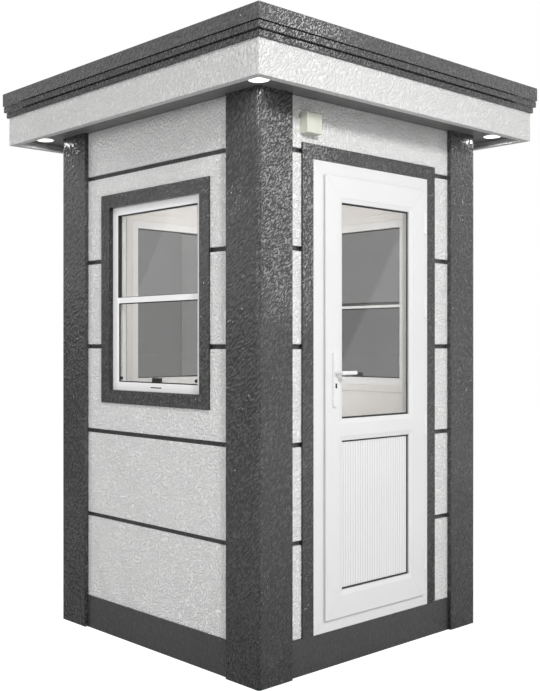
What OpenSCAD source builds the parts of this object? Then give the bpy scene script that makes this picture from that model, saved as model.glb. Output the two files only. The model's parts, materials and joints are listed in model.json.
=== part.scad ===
// Modular cabin: a one-room booth on four corner posts, with a glazed door
// in the front wall and one window in each of the other walls.
// Millimetres, +Z up, origin on the ground at the middle of the plan.
// The door is in the face towards -Y.

/* [Body] */
// Width over the corner posts, along the door face
body_w = 1500; // [1400:10:2400]
// Depth over the corner posts
body_d = 1400; // [1250:10:2400]
// Height of the corner posts, from the ground to the soffit
post_h = 2412; // [2300:2:2700]

/* [Corner posts] */
// Width of each leg of a corner post
post_w = 197; // [120:1:220]
// Radius of the post's outer corner
post_round = 10; // [4:1:20]
// Radius of the edges where a post stands proud of the wall
post_edge_round = 5; // [2:1:8]

/* [Walls] */
// How far the wall face lies behind the post face
clad_set_back = 21; // [18:1:40]
// Thickness of the outer panels
clad_t = 12; // [8:1:16]
// Thickness of the wall's core
core_t = 40; // [36:1:80]
// Thickness of the inner lining
lining_t = 8; // [5:1:12]
// Height of the dark groove between two rows of panels
groove_h = 20; // [8:1:40]
// Height of the lowest groove's middle above the ground
groove_first = 552.5; // [500:0.5:600]
// Distance from one groove to the next
groove_pitch = 408.4; // [300:0.1:480]
// Least height of the uppermost row of panels
top_row_least = 40; // [20:1:80]
// Chamfer on the long edges of a panel
panel_edge = 2; // [1:0.5:4]

/* [Base] */
// Height of the dark plinth between the posts, and of the floor
plinth_h = 153; // [130:1:180]
// How far the plinth's face lies behind the post face
plinth_set_back = 15; // [5:1:17]
// Thickness of the floor deck
deck_t = 30; // [18:1:40]
// Width of a floor bearer
bearer_w = 60; // [40:1:80]
// Height of a floor bearer
bearer_h = 90; // [60:1:95]
// Number of floor bearers
bearers = 3; // [2:1:6]

/* [Windows] */
// Distance from a corner to the opening in the left and back walls
window_margin = 376.5; // [300:0.5:420]
// Distance from a corner to the opening in the right wall
right_window_margin = 352; // [300:0.5:420]
// Height of an opening's lower edge above the ground
window_z = 1164; // [1000:1:1250]
// Height of the wall between an opening and the soffit
window_head = 385; // [300:1:460]
// Width of the dark trim round an opening
window_trim_w = 63; // [40:1:75]
// How far the trims stand proud of the wall face
trim_proud = 8.5; // [4:0.5:14]
// Radius of the trims' edges
trim_edge_round = 2; // [1:0.5:4]
// Width of the casing round an opening, inside
casing_w = 36; // [20:1:60]
// Thickness of the casing
casing_t = 5; // [3:1:10]
// Chamfer on the casing's edges
casing_edge = 1.5; // [0.5:0.5:2.5]

/* [Window frames] */
// How far a window frame's face lies behind the post face
window_frame_set_back = 38; // [34:1:44]
// Depth of a window frame
window_frame_d = 48; // [42:1:60]
// Width of a window frame's face
window_face_w = 38; // [30:1:50]
// Radius of the frame's inner edge
frame_edge_round = 3; // [1:0.5:5]
// Height of the meeting rail between the upper and the lower pane
meeting_rail_h = 26; // [20:1:40]
// Distance of the meeting rail's middle below the window's middle
meeting_rail_drop = 8.5; // [0:0.5:60]
// How far the meeting rail's face lies behind the frame's face
meeting_rail_set = 6; // [3:1:8]
// Thickness of a window pane
pane_t = 6; // [4:1:7]
// How far a pane reaches into the frame's track or into the rail
pane_lap = 12; // [8:1:16]
// Depth of the outer track behind the frame's face
outer_track_set = 12; // [10:1:14]
// Width of the fin between the two tracks
track_fin = 2; // [1:0.5:4]
// Overlap of the two side-by-side panes in the back window
pane_overlap = 24; // [10:1:40]
// Width of the drain slot in the frame's lower member
drain_w = 80; // [40:1:100]
// Height of the drain slot
drain_h = 5; // [3:0.5:8]
// Depth of the drain slot
drain_d = 6; // [3:1:10]
// Height of the drain slot's middle above the opening's lower edge
drain_rise = 18; // [14:1:24]

/* [Window catches] */
// Width of the latch on a lower pane
latch_w = 62; // [40:1:80]
// Height of the latch
latch_h = 25; // [18:1:30]
// Distance that the latch stands out from the pane
latch_d = 9; // [6:1:10]
// Chamfer on the latch
latch_edge = 3; // [1:0.5:5]
// Diameter of a pane knob
knob_dia = 15; // [10:1:20]
// Distance that a knob stands out from the pane
knob_d = 8; // [5:1:10]
// Chamfer on a knob
knob_edge = 2; // [0.5:0.5:4]
// Distance of a knob's middle from the frame, sideways and up
knob_inset = 18; // [12:1:30]

/* [Door opening] */
// Distance from the left corner of the front to the door frame
door_left = 336; // [280:1:400]
// Distance from the door frame to the right corner of the front
door_right_margin = 368; // [310:1:440]
// Height of the wall between the door frame and the soffit
door_head = 254; // [215:1:300]
// Width of the dark trim on the lock side
trim_lock_w = 68; // [50:1:80]
// Width of the dark trim on the hinge side
trim_hinge_w = 60; // [50:1:80]
// Height of the dark trim over the door
trim_head_w = 64; // [50:1:80]

/* [Door frame] */
// How far the door frame's face lies behind the post face
door_frame_set_back = 14.5; // [13:0.5:20]
// Depth of the door frame
door_frame_d = 70; // [68:1:90]
// Width of frame seen beside the leaf on the lock side
frame_lock_w = 64; // [50:1:70]
// Width of frame seen beside the leaf on the hinge side
frame_hinge_w = 43; // [35:1:60]
// Height of frame seen over the leaf
frame_head_w = 57; // [45:1:65]
// Height of frame seen under the leaf
frame_sill_w = 51; // [40:1:60]
// Depth of the frame's stop behind the leaf
stop_d = 18; // [12:1:20]
// How far the stop reaches in over the leaf
stop_lap = 6; // [4:1:8]

/* [Door leaf] */
// How far the leaf's outer flange laps beyond its body
leaf_lap = 26; // [22:1:32]
// Thickness of the leaf's outer flange
leaf_lap_t = 10; // [8:1:14]
// Radius of the flange's edge
leaf_edge_round = 4; // [1:0.5:6]
// Thickness of the whole leaf
leaf_t = 60; // [56:1:64]
// Gap between the leaf's flange and the frame's face
leaf_gap = 5; // [4:0.5:8]
// Gap between the leaf's body and the frame on the lock side
lock_gap = 9; // [8:0.5:12]
// Gap between the leaf's body and the frame on the other sides
body_gap = 5; // [5:0.5:8]
// Width of a stile, from the leaf's edge to the glazing bead
stile_w = 88; // [80:1:96]
// Height of the top rail
top_rail_w = 90; // [80:1:100]
// Height of the bottom rail
bottom_rail_w = 96; // [85:1:110]
// Height of the middle rail
mid_rail_w = 54; // [45:1:80]
// Height of the middle rail's lower edge above the leaf's lower edge
mid_rail_z = 780; // [640:1:900]
// Width of a glazing bead
bead_w = 20; // [14:1:24]
// How far the bead's outer edge lies behind the leaf's face
bead_set = 1; // [0.5:0.5:3]
// How far the bead slopes in towards the pane
bead_slope = 6; // [4:1:8]
// Distance from the leaf's face to the door pane
door_pane_set = 17; // [14:1:20]
// Thickness of the door pane
door_pane_t = 20; // [8:1:24]
// Thickness of the fluted lower panel
flute_panel_t = 24; // [16:1:30]
// Distance from one flute of the lower panel to the next
flute_pitch = 16.5; // [10:0.5:40]
// Width of a flute
flute_w = 6; // [3:0.5:9]
// Depth of a flute
flute_d = 2; // [1:0.5:4]

/* [Hinges] */
// Height of a hinge
hinge_h = 100; // [60:1:120]
// Height of the lowest hinge's middle above the leaf's lower edge
hinge_low = 171; // [100:1:240]
// Height of the second hinge's middle above the leaf's lower edge
hinge_second = 802; // [600:1:900]
// Distance of the third hinge's middle below the leaf's upper edge
hinge_third = 544; // [400:1:600]
// Distance of the top hinge's middle below the leaf's upper edge
hinge_top = 152; // [100:1:240]
// Outer diameter of a hinge knuckle
knuckle_dia = 16; // [14:1:20]
// Diameter of a hinge pin
pin_dia = 8; // [6:1:10]
// Radial clearance of a hinge pin in its knuckle
pin_clear = 0.1; // [0.05:0.05:0.3]
// Gap between the two knuckles of a hinge
knuckle_gap = 0.5; // [0.3:0.1:1]
// Thickness of a hinge flap
flap_t = 3; // [2:0.5:4]
// Width of a hinge flap from the axis
flap_w = 28; // [20:1:32]
// How far a hinge pin stops short of the knuckle's top
pin_short = 2; // [1:0.5:5]
// Distance from the leaf's edge to the hinge axis
axis_out = 9; // [9:0.5:14]

/* [Door handle] */
// Width of the handle's backplate
plate_w = 32; // [28:1:34]
// Height of the handle's backplate
plate_h = 240; // [200:1:260]
// Thickness of the handle's backplate
plate_t = 9; // [6:1:12]
// Radius of the backplate's corners
plate_round = 10; // [4:1:14]
// Width of the backplate's lower step round its raised middle
plate_step = 3; // [2:0.5:4]
// Height of the backplate's middle above the ground
plate_z = 1230; // [1100:1:1300]
// Height of the lever's axis above the backplate's middle
lever_rise = 27; // [15:1:50]
// Depth of the keyhole's middle below the lever's axis
keyhole_drop = 55; // [40:1:72]
// Width of the keyhole
keyhole_w = 9; // [6:1:12]
// Height of the keyhole
keyhole_h = 20; // [14:1:30]
// Length of the lever from its axis to its tip
lever_l = 94; // [80:1:130]
// Height of the lever's grip
grip_h = 17; // [15:1:22]
// Thickness of the lever's grip
grip_t = 12; // [8:1:14]
// Diameter of the lever's neck
neck_dia = 18; // [15:1:22]
// Clear distance between the backplate and the grip
grip_gap = 30; // [22:1:40]
// Radial clearance of the neck in the backplate
neck_clear = 0.15; // [0.1:0.05:0.3]
// Radial clearance of the neck's hole in the leaf
leaf_hole_clear = 2; // [1:0.5:3]
// Diameter of the spindle through the leaf
spindle_dia = 10; // [8:1:12]

/* [Roof] */
// How far the fascia stands out beyond the posts
fascia_out = 192; // [140:1:260]
// Height of the fascia
fascia_h = 138; // [100:1:180]
// How far the fascia hangs below the soffit
fascia_lip = 30; // [10:1:40]
// Thickness of the fascia board
fascia_t = 18; // [12:1:26]
// Width of the return under the fascia's lower edge
fascia_return_w = 34; // [27:1:44]
// Thickness of the return
fascia_return_t = 3; // [2:0.5:8]
// Chamfer on the fascia's and the cornice bands' edges
band_edge = 1.5; // [0.5:0.5:3]
// Thickness of the soffit and of the ceiling lining
soffit_t = 12; // [8:1:18]
// Further projection of the lower cornice band
cornice_lower_out = 10; // [5:1:20]
// Height of the lower cornice band
cornice_lower_h = 25; // [18:1:32]
// Further projection of the upper cornice band beyond the lower one
cornice_upper_out = 10; // [5:1:20]
// Height of the upper cornice band
cornice_upper_h = 28; // [20:1:36]
// Further projection of the roof cap beyond the upper band
cap_out = 4; // [2:1:12]
// Height of the roof cap's edge
cap_h = 64; // [40:1:90]
// Radius of the roof cap's upper edge
cap_edge_round = 4; // [2:1:10]
// Height of the dark joint above each cornice band
shadow_gap = 3; // [1:0.5:5]
// Width of the cornice bands
band_w = 60; // [45:1:80]

/* [Lights] */
// Diameter of a downlight's rim
downlight_dia = 92; // [80:1:110]
// Diameter of the bright lens inside the rim
downlight_lens_dia = 66; // [50:1:72]
// Depth of the lens behind the rim's face
downlight_recess = 3; // [1:0.5:4]
// Diameter of a downlight's housing in the soffit
downlight_body_dia = 74; // [60:1:76]
// Distance of a downlight's middle beyond the post faces
downlight_out = 62; // [55:1:80]
// How far a downlight's rim hangs below the soffit
downlight_rim = 5; // [3:1:10]
// Chamfer on a downlight's rim
downlight_edge = 2; // [0.5:0.5:3]
// Depth of a downlight's housing above the soffit's face
downlight_h = 50; // [30:1:70]
// Radial clearance of a downlight's housing in the soffit
housing_clear = 0.5; // [0.3:0.1:2]
// Radial clearance of a downlight's housing in the roof core
core_hole_clear = 2.5; // [1:0.5:5]
// Width of the light box beside the door's head
light_w = 91; // [60:1:110]
// Height of the light box
light_h = 85; // [60:1:100]
// Depth of the light box
light_d = 42; // [30:1:60]
// Radius of the light box's front edges
light_edge_round = 3; // [1:0.5:6]
// Distance from the left corner of the front to the light box
light_u = 261.5; // [240:0.5:300]
// Gap between the door's trim and the light box over it
light_gap = 35; // [20:1:60]

/* [Hidden] */

CUT = 1;
$fn = 48;
DARK = [0.36, 0.37, 0.38];
WHITE = [0.95, 0.95, 0.95];
PANEL_WHITE = [0.9, 0.9, 0.89];
CREAM = [0.86, 0.84, 0.8];
CORE = [0.3, 0.3, 0.31];
GLASS = [0.55, 0.58, 0.6, 0.5];

FACES = ["front", "left", "back", "right"];
WINDOW_FACES = ["left", "back", "right"];
SASH_FACES = ["left", "right"];

// Turn, width and distance from the middle of one face of the body
function face_turn(face) = face == "front" ? 0 : face == "right" ? 90 : face == "back" ? 180 : -90;
function along_x(face) = face == "front" || face == "back";
function face_w(face) = along_x(face) ? body_w : body_d;
function face_at(face) = (along_x(face) ? body_d : body_w) / 2;
function wall_u(face) = [post_w, face_w(face) - post_w];
function grow(range, by) = [range[0] - by, range[1] + by];
function middle(range) = (range[0] + range[1]) / 2;

// Depths behind the post face
core_at = clad_set_back + clad_t;
lining_at = core_at + core_t;
wall_in = lining_at + lining_t;
trim_at = clad_set_back - trim_proud;

groove_count = 1 + floor((post_h - top_row_least - groove_first) / groove_pitch);
groove_z = [for (i = [0:groove_count - 1]) groove_first + i * groove_pitch];
row_low = concat([plinth_h], [for (z = groove_z) z + groove_h / 2]);
row_high = concat([for (z = groove_z) z - groove_h / 2], [post_h]);

window_v = [window_z, post_h - window_head];
pane_v = grow(window_v, pane_lap - window_face_w);
rail_z = middle(window_v) - meeting_rail_drop;
rail_v = [rail_z - meeting_rail_h / 2, rail_z + meeting_rail_h / 2];
inner_track_set = outer_track_set + pane_t + track_fin;
track_back = window_frame_set_back + inner_track_set + pane_t;
function window_side(face) = face == "right" ? right_window_margin : window_margin;
function window_u(face) = [window_side(face), face_w(face) - window_side(face)];
function clear_u(face) = grow(window_u(face), -window_face_w);
function pane_u(face) = grow(clear_u(face), pane_lap);
function pane_w(set) = [-window_frame_set_back - set - pane_t, -window_frame_set_back - set];

door_u = [door_left, body_w - door_right_margin];
door_v = [plinth_h, post_h - door_head];
door_trim_u = [door_u[0] - trim_lock_w, door_u[1] + trim_hinge_w];
door_trim_top = door_v[1] + trim_head_w;
leaf_u = [door_u[0] + frame_lock_w, door_u[1] - frame_hinge_w];
leaf_v = [door_v[0] + frame_sill_w, door_v[1] - frame_head_w];
body_u = grow(leaf_u, -leaf_lap);
body_v = grow(leaf_v, -leaf_lap);
// Height of the leaf's face over the post face, and of what lies behind it
leaf_face = leaf_lap_t + leaf_gap - door_frame_set_back;
leaf_lap_back = leaf_face - leaf_lap_t;
leaf_back = leaf_face - leaf_t;
pane_face = leaf_face - door_pane_set;
glass_u = grow(leaf_u, -stile_w);
glass_v = [leaf_v[0] + mid_rail_z + mid_rail_w, leaf_v[1] - top_rail_w];
panel_v = [leaf_v[0] + bottom_rail_w, leaf_v[0] + mid_rail_z];
hinge_z = [leaf_v[0] + hinge_low, leaf_v[0] + hinge_second, leaf_v[1] - hinge_third, leaf_v[1] - hinge_top];
axis_u = leaf_u[1] + axis_out;
axis_w = leaf_face - leaf_lap_t / 2;
lever_u = leaf_u[0] + (stile_w + bead_w) / 2;
lever_z = plate_z + lever_rise;

fascia_z = post_h - fascia_lip;
fascia_top = fascia_z + fascia_h;
cornice_upper_z = fascia_top + cornice_lower_h + shadow_gap;
cap_z = cornice_upper_z + cornice_upper_h + shadow_gap;
cornice_lower_reach = fascia_out + cornice_lower_out;
cornice_upper_reach = cornice_lower_reach + cornice_upper_out;
cap_reach = cornice_upper_reach + cap_out;
core_reach = cornice_lower_reach - band_w;
light_z = door_trim_top + light_gap;

// Shapes in a face's own frame: u to the right, v up, w outwards
module on_face(face) {
    rotate([0, 0, face_turn(face)])
    translate([-face_w(face) / 2, -face_at(face), 0])
    rotate([90, 0, 0])
        children();
}

// Block between two planes along each of three directions
module block(u, v, w) {
    translate([u[0], v[0], w[0]])
        cube([u[1] - u[0], v[1] - v[0], w[1] - w[0]]);
}

// Four mitred lengths inside the edge of a rectangle. The section to sweep
// has x inwards from that edge, up to width, and y along w.
module mitred_ring(u, v, width, w) {
    size = [u[1] - u[0], v[1] - v[0]];
    corners = [[0, 0], [size[0], 0], size, [0, size[1]]];
    translate([u[0], v[0], 0])
        for (side = [0:3])
            translate(corners[side])
            rotate(90 * side)
            mitred_length(size[side % 2], width, w)
                children();
}

module mitred_length(length, width, w) {
    intersection() {
        rotate([90, 0, 90])
        linear_extrude(length)
            children();
        translate([0, 0, w[0] - CUT])
        linear_extrude(w[1] - w[0] + 2 * CUT)
            polygon([[0, 0], [length, 0], [length - width, width], [width, width]]);
    }
}

// Section of a flat strip whose two long edges are chamfered on its face
module strip_section(width, back, face, edge) {
    slope = sign(face - back) * edge;
    polygon([[0, back], [0, face - slope], [edge, face], [width - edge, face], [width, face - slope],
        [width, back]]);
}

// Section of a band round the roof, with its outer edges chamfered
module band_section(width, z) {
    polygon([[band_edge, z[0]], [width, z[0]], [width, z[1]], [band_edge, z[1]],
        [0, z[1] - band_edge], [0, z[0] + band_edge]]);
}

// What a rounded edge takes off round the outside of a rectangle
module outer_edge_cut(u, v, face, radius) {
    mitred_ring(grow(u, CUT), grow(v, CUT), radius + CUT, [face - radius, face + CUT])
        difference() {
            translate([0, face - radius])
                square(radius + CUT);
            translate([radius + CUT, face - radius])
                circle(r = radius);
        }
}

// What a rounded edge takes off round the mouth of an opening
module mouth_edge_cut(u, v, face, radius) {
    mitred_ring(grow(u, radius), grow(v, radius), radius + CUT, [face - radius, face + CUT])
        translate([0, face - radius])
        difference() {
            square(radius + CUT);
            circle(r = radius);
        }
}

// Plan of one post, with its outer corner at the origin
module post_plan() {
    difference() {
        square(post_w);
        translate([wall_in, wall_in])
            square(post_w);
        corner_cut(post_round);
        for (turn = [0, 1])
            mirror([turn, -turn])
            translate([post_w, 0])
            mirror([1, 0])
                corner_cut(post_edge_round);
    }
}

// What a rounded corner takes off at the origin
module corner_cut(radius) {
    difference() {
        square(radius);
        translate([radius, radius])
            circle(r = radius);
    }
}

// The front left post, or its mirror image across X, Y or both
module post(side_x, side_y) {
    color(DARK)
    mirror([side_x, 0, 0])
    mirror([0, side_y, 0])
    translate([-body_w / 2, -body_d / 2, 0])
    linear_extrude(post_h)
        post_plan();
}

module plinth() {
    color(DARK)
    for (face = FACES)
        on_face(face)
        block(wall_u(face), [0, plinth_h], [-wall_in, -plinth_set_back]);
}

module floor_bearers() {
    span = body_d - 2 * wall_in;
    step = (body_w - 2 * wall_in) / (bearers + 1);
    color([0.45, 0.45, 0.46])
    for (i = [1:bearers])
        translate([-body_w / 2 + wall_in + i * step - bearer_w / 2, -span / 2, plinth_h - deck_t - bearer_h])
        cube([bearer_w, span, bearer_h]);
}

module inside_sheet(thickness) {
    translate([-body_w / 2 + wall_in, -body_d / 2 + wall_in, 0])
        cube([body_w - 2 * wall_in, body_d - 2 * wall_in, thickness]);
}

module floor_deck() {
    color([0.5, 0.46, 0.42])
    translate([0, 0, plinth_h - deck_t])
        inside_sheet(deck_t);
}

module ceiling() {
    color(CREAM)
    translate([0, 0, post_h - soffit_t])
        inside_sheet(soffit_t);
}

// The front wall's core stands beside and over the door frame
module front_core(u, v) {
    color(CORE)
    on_face("front")
        block(u, v, [-lining_at, -core_at]);
}

module window_core(face) {
    color(CORE)
    on_face(face)
    difference() {
        block(wall_u(face), [plinth_h, post_h], [-lining_at, -core_at]);
        block(window_u(face), window_v, [-lining_at - CUT, -core_at + CUT]);
    }
}

// One row of outer panels
module panel_row(face, low, high) {
    translate([post_w, low, 0])
    rotate([90, 0, 90])
    linear_extrude(face_w(face) - 2 * post_w)
        strip_section(high - low, -core_at, -clad_set_back, panel_edge);
}

// All panel rows of a face, cut away where the trim stands
module cladding(face, u, v) {
    color(PANEL_WHITE)
    on_face(face)
    difference() {
        for (i = [0:groove_count])
            panel_row(face, row_low[i], row_high[i]);
        block(u, v, [-core_at - CUT, 0]);
    }
}

module window_cladding(face) {
    cladding(face, grow(window_u(face), window_trim_w), grow(window_v, window_trim_w));
}

// Inner lining of one wall
module lining(face, u, v) {
    on_face(face)
    difference() {
        block(wall_u(face), [plinth_h, post_h], [-wall_in, -lining_at]);
        block(u, v, [-wall_in - CUT, -lining_at + CUT]);
    }
}

// Flat casing that laps the lining round a window
module casing(face) {
    on_face(face)
    mitred_ring(grow(window_u(face), casing_w), grow(window_v, casing_w), casing_w,
        [-wall_in - casing_t, -wall_in])
        strip_section(casing_w, -wall_in, -wall_in - casing_t, casing_edge);
}

module wall_linings() {
    color(CREAM) {
        lining("front", door_u, [door_v[0] - CUT, door_v[1]]);
        for (face = WINDOW_FACES) {
            lining(face, window_u(face), window_v);
            casing(face);
        }
    }
}

module window_trim(face) {
    outer_u = grow(window_u(face), window_trim_w);
    outer_v = grow(window_v, window_trim_w);
    color(DARK)
    on_face(face)
    difference() {
        block(outer_u, outer_v, [-core_at, -trim_at]);
        block(window_u(face), window_v, [-core_at - CUT, 0]);
        outer_edge_cut(outer_u, outer_v, -trim_at, trim_edge_round);
        mouth_edge_cut(window_u(face), window_v, -trim_at, trim_edge_round);
    }
}

// Section of a window frame's member, from the wall to its clear edge:
// rounded on its face, with a track for each pane
module frame_section() {
    front = -window_frame_set_back;
    difference() {
        translate([0, front - window_frame_d])
            square([window_face_w, window_frame_d]);
        for (set = [outer_track_set, inner_track_set])
            translate([window_face_w - pane_lap, pane_w(set)[0]])
                square([pane_lap + CUT, pane_t]);
        translate([window_face_w, front])
        rotate(180)
            corner_cut(frame_edge_round);
    }
}

// White frame of one window, with a meeting rail where its lower pane slides
module window_frame(face) {
    front = -window_frame_set_back;
    color(WHITE)
    on_face(face)
    difference() {
        union() {
            mitred_ring(window_u(face), window_v, window_face_w, [front - window_frame_d, front])
                frame_section();
            if (face != "back")
                meeting_rail(face);
        }
        panes(face);
        drain_slot(face);
    }
}

module meeting_rail(face) {
    rail_front = -window_frame_set_back - meeting_rail_set;
    block(pane_u(face), rail_v, [-track_back, rail_front]);
}

module drain_slot(face) {
    u = middle(window_u(face));
    v = window_v[0] + drain_rise;
    front = -window_frame_set_back;
    block([u - drain_w / 2, u + drain_w / 2], [v - drain_h / 2, v + drain_h / 2], [front - drain_d, front + CUT]);
}

// Panes of one window: one above the other, or side by side in the back wall
module panes(face) {
    u = pane_u(face);
    u_mid = middle(u);
    if (face == "back") {
        block([u[0], u_mid + pane_overlap / 2], pane_v, pane_w(outer_track_set));
        block([u_mid - pane_overlap / 2, u[1]], pane_v, pane_w(inner_track_set));
    } else {
        block(u, [rail_v[1] - pane_lap, pane_v[1]], pane_w(inner_track_set));
        block(u, [pane_v[0], rail_v[0] + pane_lap], pane_w(outer_track_set));
    }
}

module window_glass() {
    color(GLASS)
    for (face = WINDOW_FACES)
        on_face(face)
            panes(face);
}

module latch() {
    rotate([90, 0, 90])
    linear_extrude(latch_w)
        polygon([[0, 0], [latch_h, 0], [latch_h, latch_edge], [latch_h - latch_edge, latch_d],
            [latch_edge, latch_d], [0, latch_d - latch_edge]]);
}

module knob() {
    cylinder(h = knob_d - knob_edge, d = knob_dia);
    translate([0, 0, knob_d - knob_edge])
        cylinder(h = knob_edge, d1 = knob_dia, d2 = knob_dia - 2 * knob_edge);
}

module window_catches() {
    front = pane_w(outer_track_set)[1];
    low = window_v[0] + window_face_w;
    color([0.08, 0.08, 0.08])
    for (face = SASH_FACES)
        on_face(face) {
            translate([middle(window_u(face)) - latch_w / 2, low, front])
                latch();
            for (u = grow(clear_u(face), -knob_inset))
                translate([u, low + knob_inset, front])
                    knob();
        }
}

module door_trim() {
    outer_v = [door_v[0] - trim_edge_round - CUT, door_trim_top];
    mouth_v = [door_v[0] - trim_edge_round - CUT, door_v[1]];
    color(DARK)
    on_face("front")
    difference() {
        block(door_trim_u, [door_v[0], door_trim_top], [-core_at, -trim_at]);
        block(door_u, mouth_v, [-core_at - CUT, 0]);
        outer_edge_cut(door_trim_u, outer_v, -trim_at, trim_edge_round);
        mouth_edge_cut(door_u, mouth_v, -trim_at, trim_edge_round);
    }
}

// Frame with a rebate for the leaf and a stop behind it
module door_frame() {
    front = -door_frame_set_back;
    back = front - door_frame_d;
    rebate_u = [body_u[0] - lock_gap, body_u[1] + body_gap];
    rebate_v = grow(body_v, body_gap);
    color(WHITE)
    on_face("front")
    difference() {
        block(door_u, door_v, [back, front]);
        block(rebate_u, rebate_v, [back + stop_d, 0]);
        block(grow(body_u, -stop_lap), grow(body_v, -stop_lap), [back - CUT, 0]);
    }
}

module spindle_hole(dia, w) {
    translate([lever_u, lever_z, w[0]])
        cylinder(h = w[1] - w[0], d = dia);
}

// Keyhole with round ends, through whatever lies between two depths
module keyhole(w) {
    reach = (keyhole_h - keyhole_w) / 2;
    translate([lever_u, lever_z - keyhole_drop, w[0]])
    linear_extrude(w[1] - w[0]) {
        square([keyhole_w, 2 * reach], center = true);
        for (side = [-1, 1])
            translate([0, side * reach])
                circle(d = keyhole_w);
    }
}

// Leaf with an outer flange that laps the frame, and openings for pane and panel
module door_leaf() {
    color(WHITE)
    on_face("front")
    difference() {
        union() {
            block(leaf_u, leaf_v, [leaf_lap_back, leaf_face]);
            block(body_u, body_v, [leaf_back, leaf_lap_back]);
        }
        outer_edge_cut(leaf_u, leaf_v, leaf_face, leaf_edge_round);
        for (v = [glass_v, panel_v])
            block(glass_u, v, [leaf_back - CUT, leaf_face + CUT]);
        spindle_hole(neck_dia + 2 * leaf_hole_clear, [leaf_back - CUT, leaf_face + CUT]);
        keyhole([leaf_back - CUT, leaf_face + CUT]);
    }
}

// Rings of glazing bead with a face that slopes in towards the pane
module door_beads() {
    color(WHITE)
    on_face("front")
    for (v = [glass_v, panel_v])
        mitred_ring(glass_u, v, bead_w, [pane_face, leaf_face])
            polygon([[0, pane_face], [0, leaf_face - bead_set], [bead_w, leaf_face - bead_slope],
                [bead_w, pane_face]]);
}

module door_glass() {
    color(GLASS)
    on_face("front")
        block(glass_u, glass_v, [pane_face - door_pane_t, pane_face]);
}

// Lower panel with upright V-shaped flutes, set out from its middle
module door_panel() {
    reach = floor(((glass_u[1] - glass_u[0]) / 2 - bead_w) / flute_pitch);
    color(WHITE)
    on_face("front")
    difference() {
        block(glass_u, panel_v, [pane_face - flute_panel_t, pane_face]);
        for (i = [-reach:reach])
            translate([middle(glass_u) + i * flute_pitch, panel_v[1] + CUT, pane_face])
            rotate([90, 0, 0])
            linear_extrude(panel_v[1] - panel_v[0] + 2 * CUT)
                polygon([[-flute_w / 2, 0], [0, -flute_d], [flute_w / 2, 0]]);
    }
}

// Round bar on the hinge axis between two heights
module axis_bar(v, dia) {
    translate([axis_u, v[0], axis_w])
    rotate([-90, 0, 0])
        cylinder(h = v[1] - v[0], d = dia);
}

// Frame side of each hinge: flap, lower knuckle and the pin fixed in it
module frame_hinges() {
    face_w = -door_frame_set_back;
    color(WHITE)
    on_face("front")
    for (z = hinge_z) {
        low = z - hinge_h / 2;
        block([axis_u, axis_u + flap_w], [low, z], [face_w, face_w + flap_t]);
        axis_bar([low, z], knuckle_dia);
        axis_bar([low, low + hinge_h - pin_short], pin_dia);
    }
}

// Leaf side of each hinge: upper knuckle joined to the leaf's edge
module leaf_hinges() {
    color(WHITE)
    on_face("front")
    for (z = hinge_z) {
        high = [z + knuckle_gap, z + hinge_h / 2];
        difference() {
            union() {
                axis_bar(high, knuckle_dia);
                block([leaf_u[1], axis_u], high, [axis_w - flap_t, leaf_face - leaf_edge_round]);
            }
            axis_bar(grow(high, CUT), pin_dia + 2 * pin_clear);
        }
    }
}

// Upright plate with round corners, centred on the lever's stile
module plate_outline(inset) {
    reach = [plate_w / 2 - plate_round, plate_h / 2 - plate_round];
    round_r = plate_round - inset;
    square([2 * reach[0], 2 * (reach[1] + round_r)], center = true);
    square([2 * (reach[0] + round_r), 2 * reach[1]], center = true);
    for (x = [-1, 1], y = [-1, 1])
        translate([x * reach[0], y * reach[1]])
            circle(r = round_r);
}

// Backplate that stands out from a face of the leaf, stepped round its middle
module handle_plate() {
    difference() {
        translate([lever_u, plate_z, 0]) {
            linear_extrude(plate_t - plate_step)
                plate_outline(0);
            linear_extrude(plate_t)
                plate_outline(plate_step);
        }
        spindle_hole(neck_dia + 2 * neck_clear, [-CUT, plate_t + CUT]);
        keyhole([-CUT, plate_t + CUT]);
    }
}

module handle_plates() {
    color(WHITE)
    on_face("front")
        both_sides()
            handle_plate();
}

// Copies on the leaf's outer and inner face, each standing outwards from it
module both_sides() {
    translate([0, 0, leaf_face])
        children();
    translate([0, 0, leaf_back])
    mirror([0, 0, 1])
        children();
}

// Upper half of the grip's section, flat in the middle with a full round edge
module grip_half_section() {
    flat = (grip_h - grip_t) / 2;
    square([flat, grip_t]);
    intersection() {
        translate([flat, grip_t / 2])
            circle(d = grip_t);
        square([grip_h, grip_t]);
    }
}

// Neck and grip on one side of the leaf
module lever_side() {
    neck_l = plate_t + grip_gap;
    straight = lever_l - grip_h / 2;
    translate([lever_u, lever_z, 0]) {
        cylinder(h = neck_l + grip_t / 2, d = neck_dia);
        translate([0, 0, neck_l]) {
            cylinder(h = grip_t, d = grip_h);
            for (side = [0, 1])
                mirror([0, side, 0])
                rotate([90, 0, 90])
                linear_extrude(straight)
                    grip_half_section();
            translate([straight, 0, 0])
                rotate_extrude()
                    grip_half_section();
        }
    }
}

module door_lever() {
    color(WHITE)
    on_face("front") {
        both_sides()
            lever_side();
        spindle_hole(spindle_dia, [leaf_back, leaf_face]);
    }
}

// Reach of the plan, in x and in y, at a distance beyond the posts
function plan_x(reach) = grow([-body_w / 2, body_w / 2], reach);
function plan_y(reach) = grow([-body_d / 2, body_d / 2], reach);

// Mitred band round the roof, whose section has x inwards and y up
module roof_band(reach, width, z) {
    mitred_ring(plan_x(reach), plan_y(reach), width, z)
        children();
}

module at_downlights() {
    for (x = plan_x(downlight_out), y = plan_y(downlight_out))
        translate([x, y, post_h])
            children();
}

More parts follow.
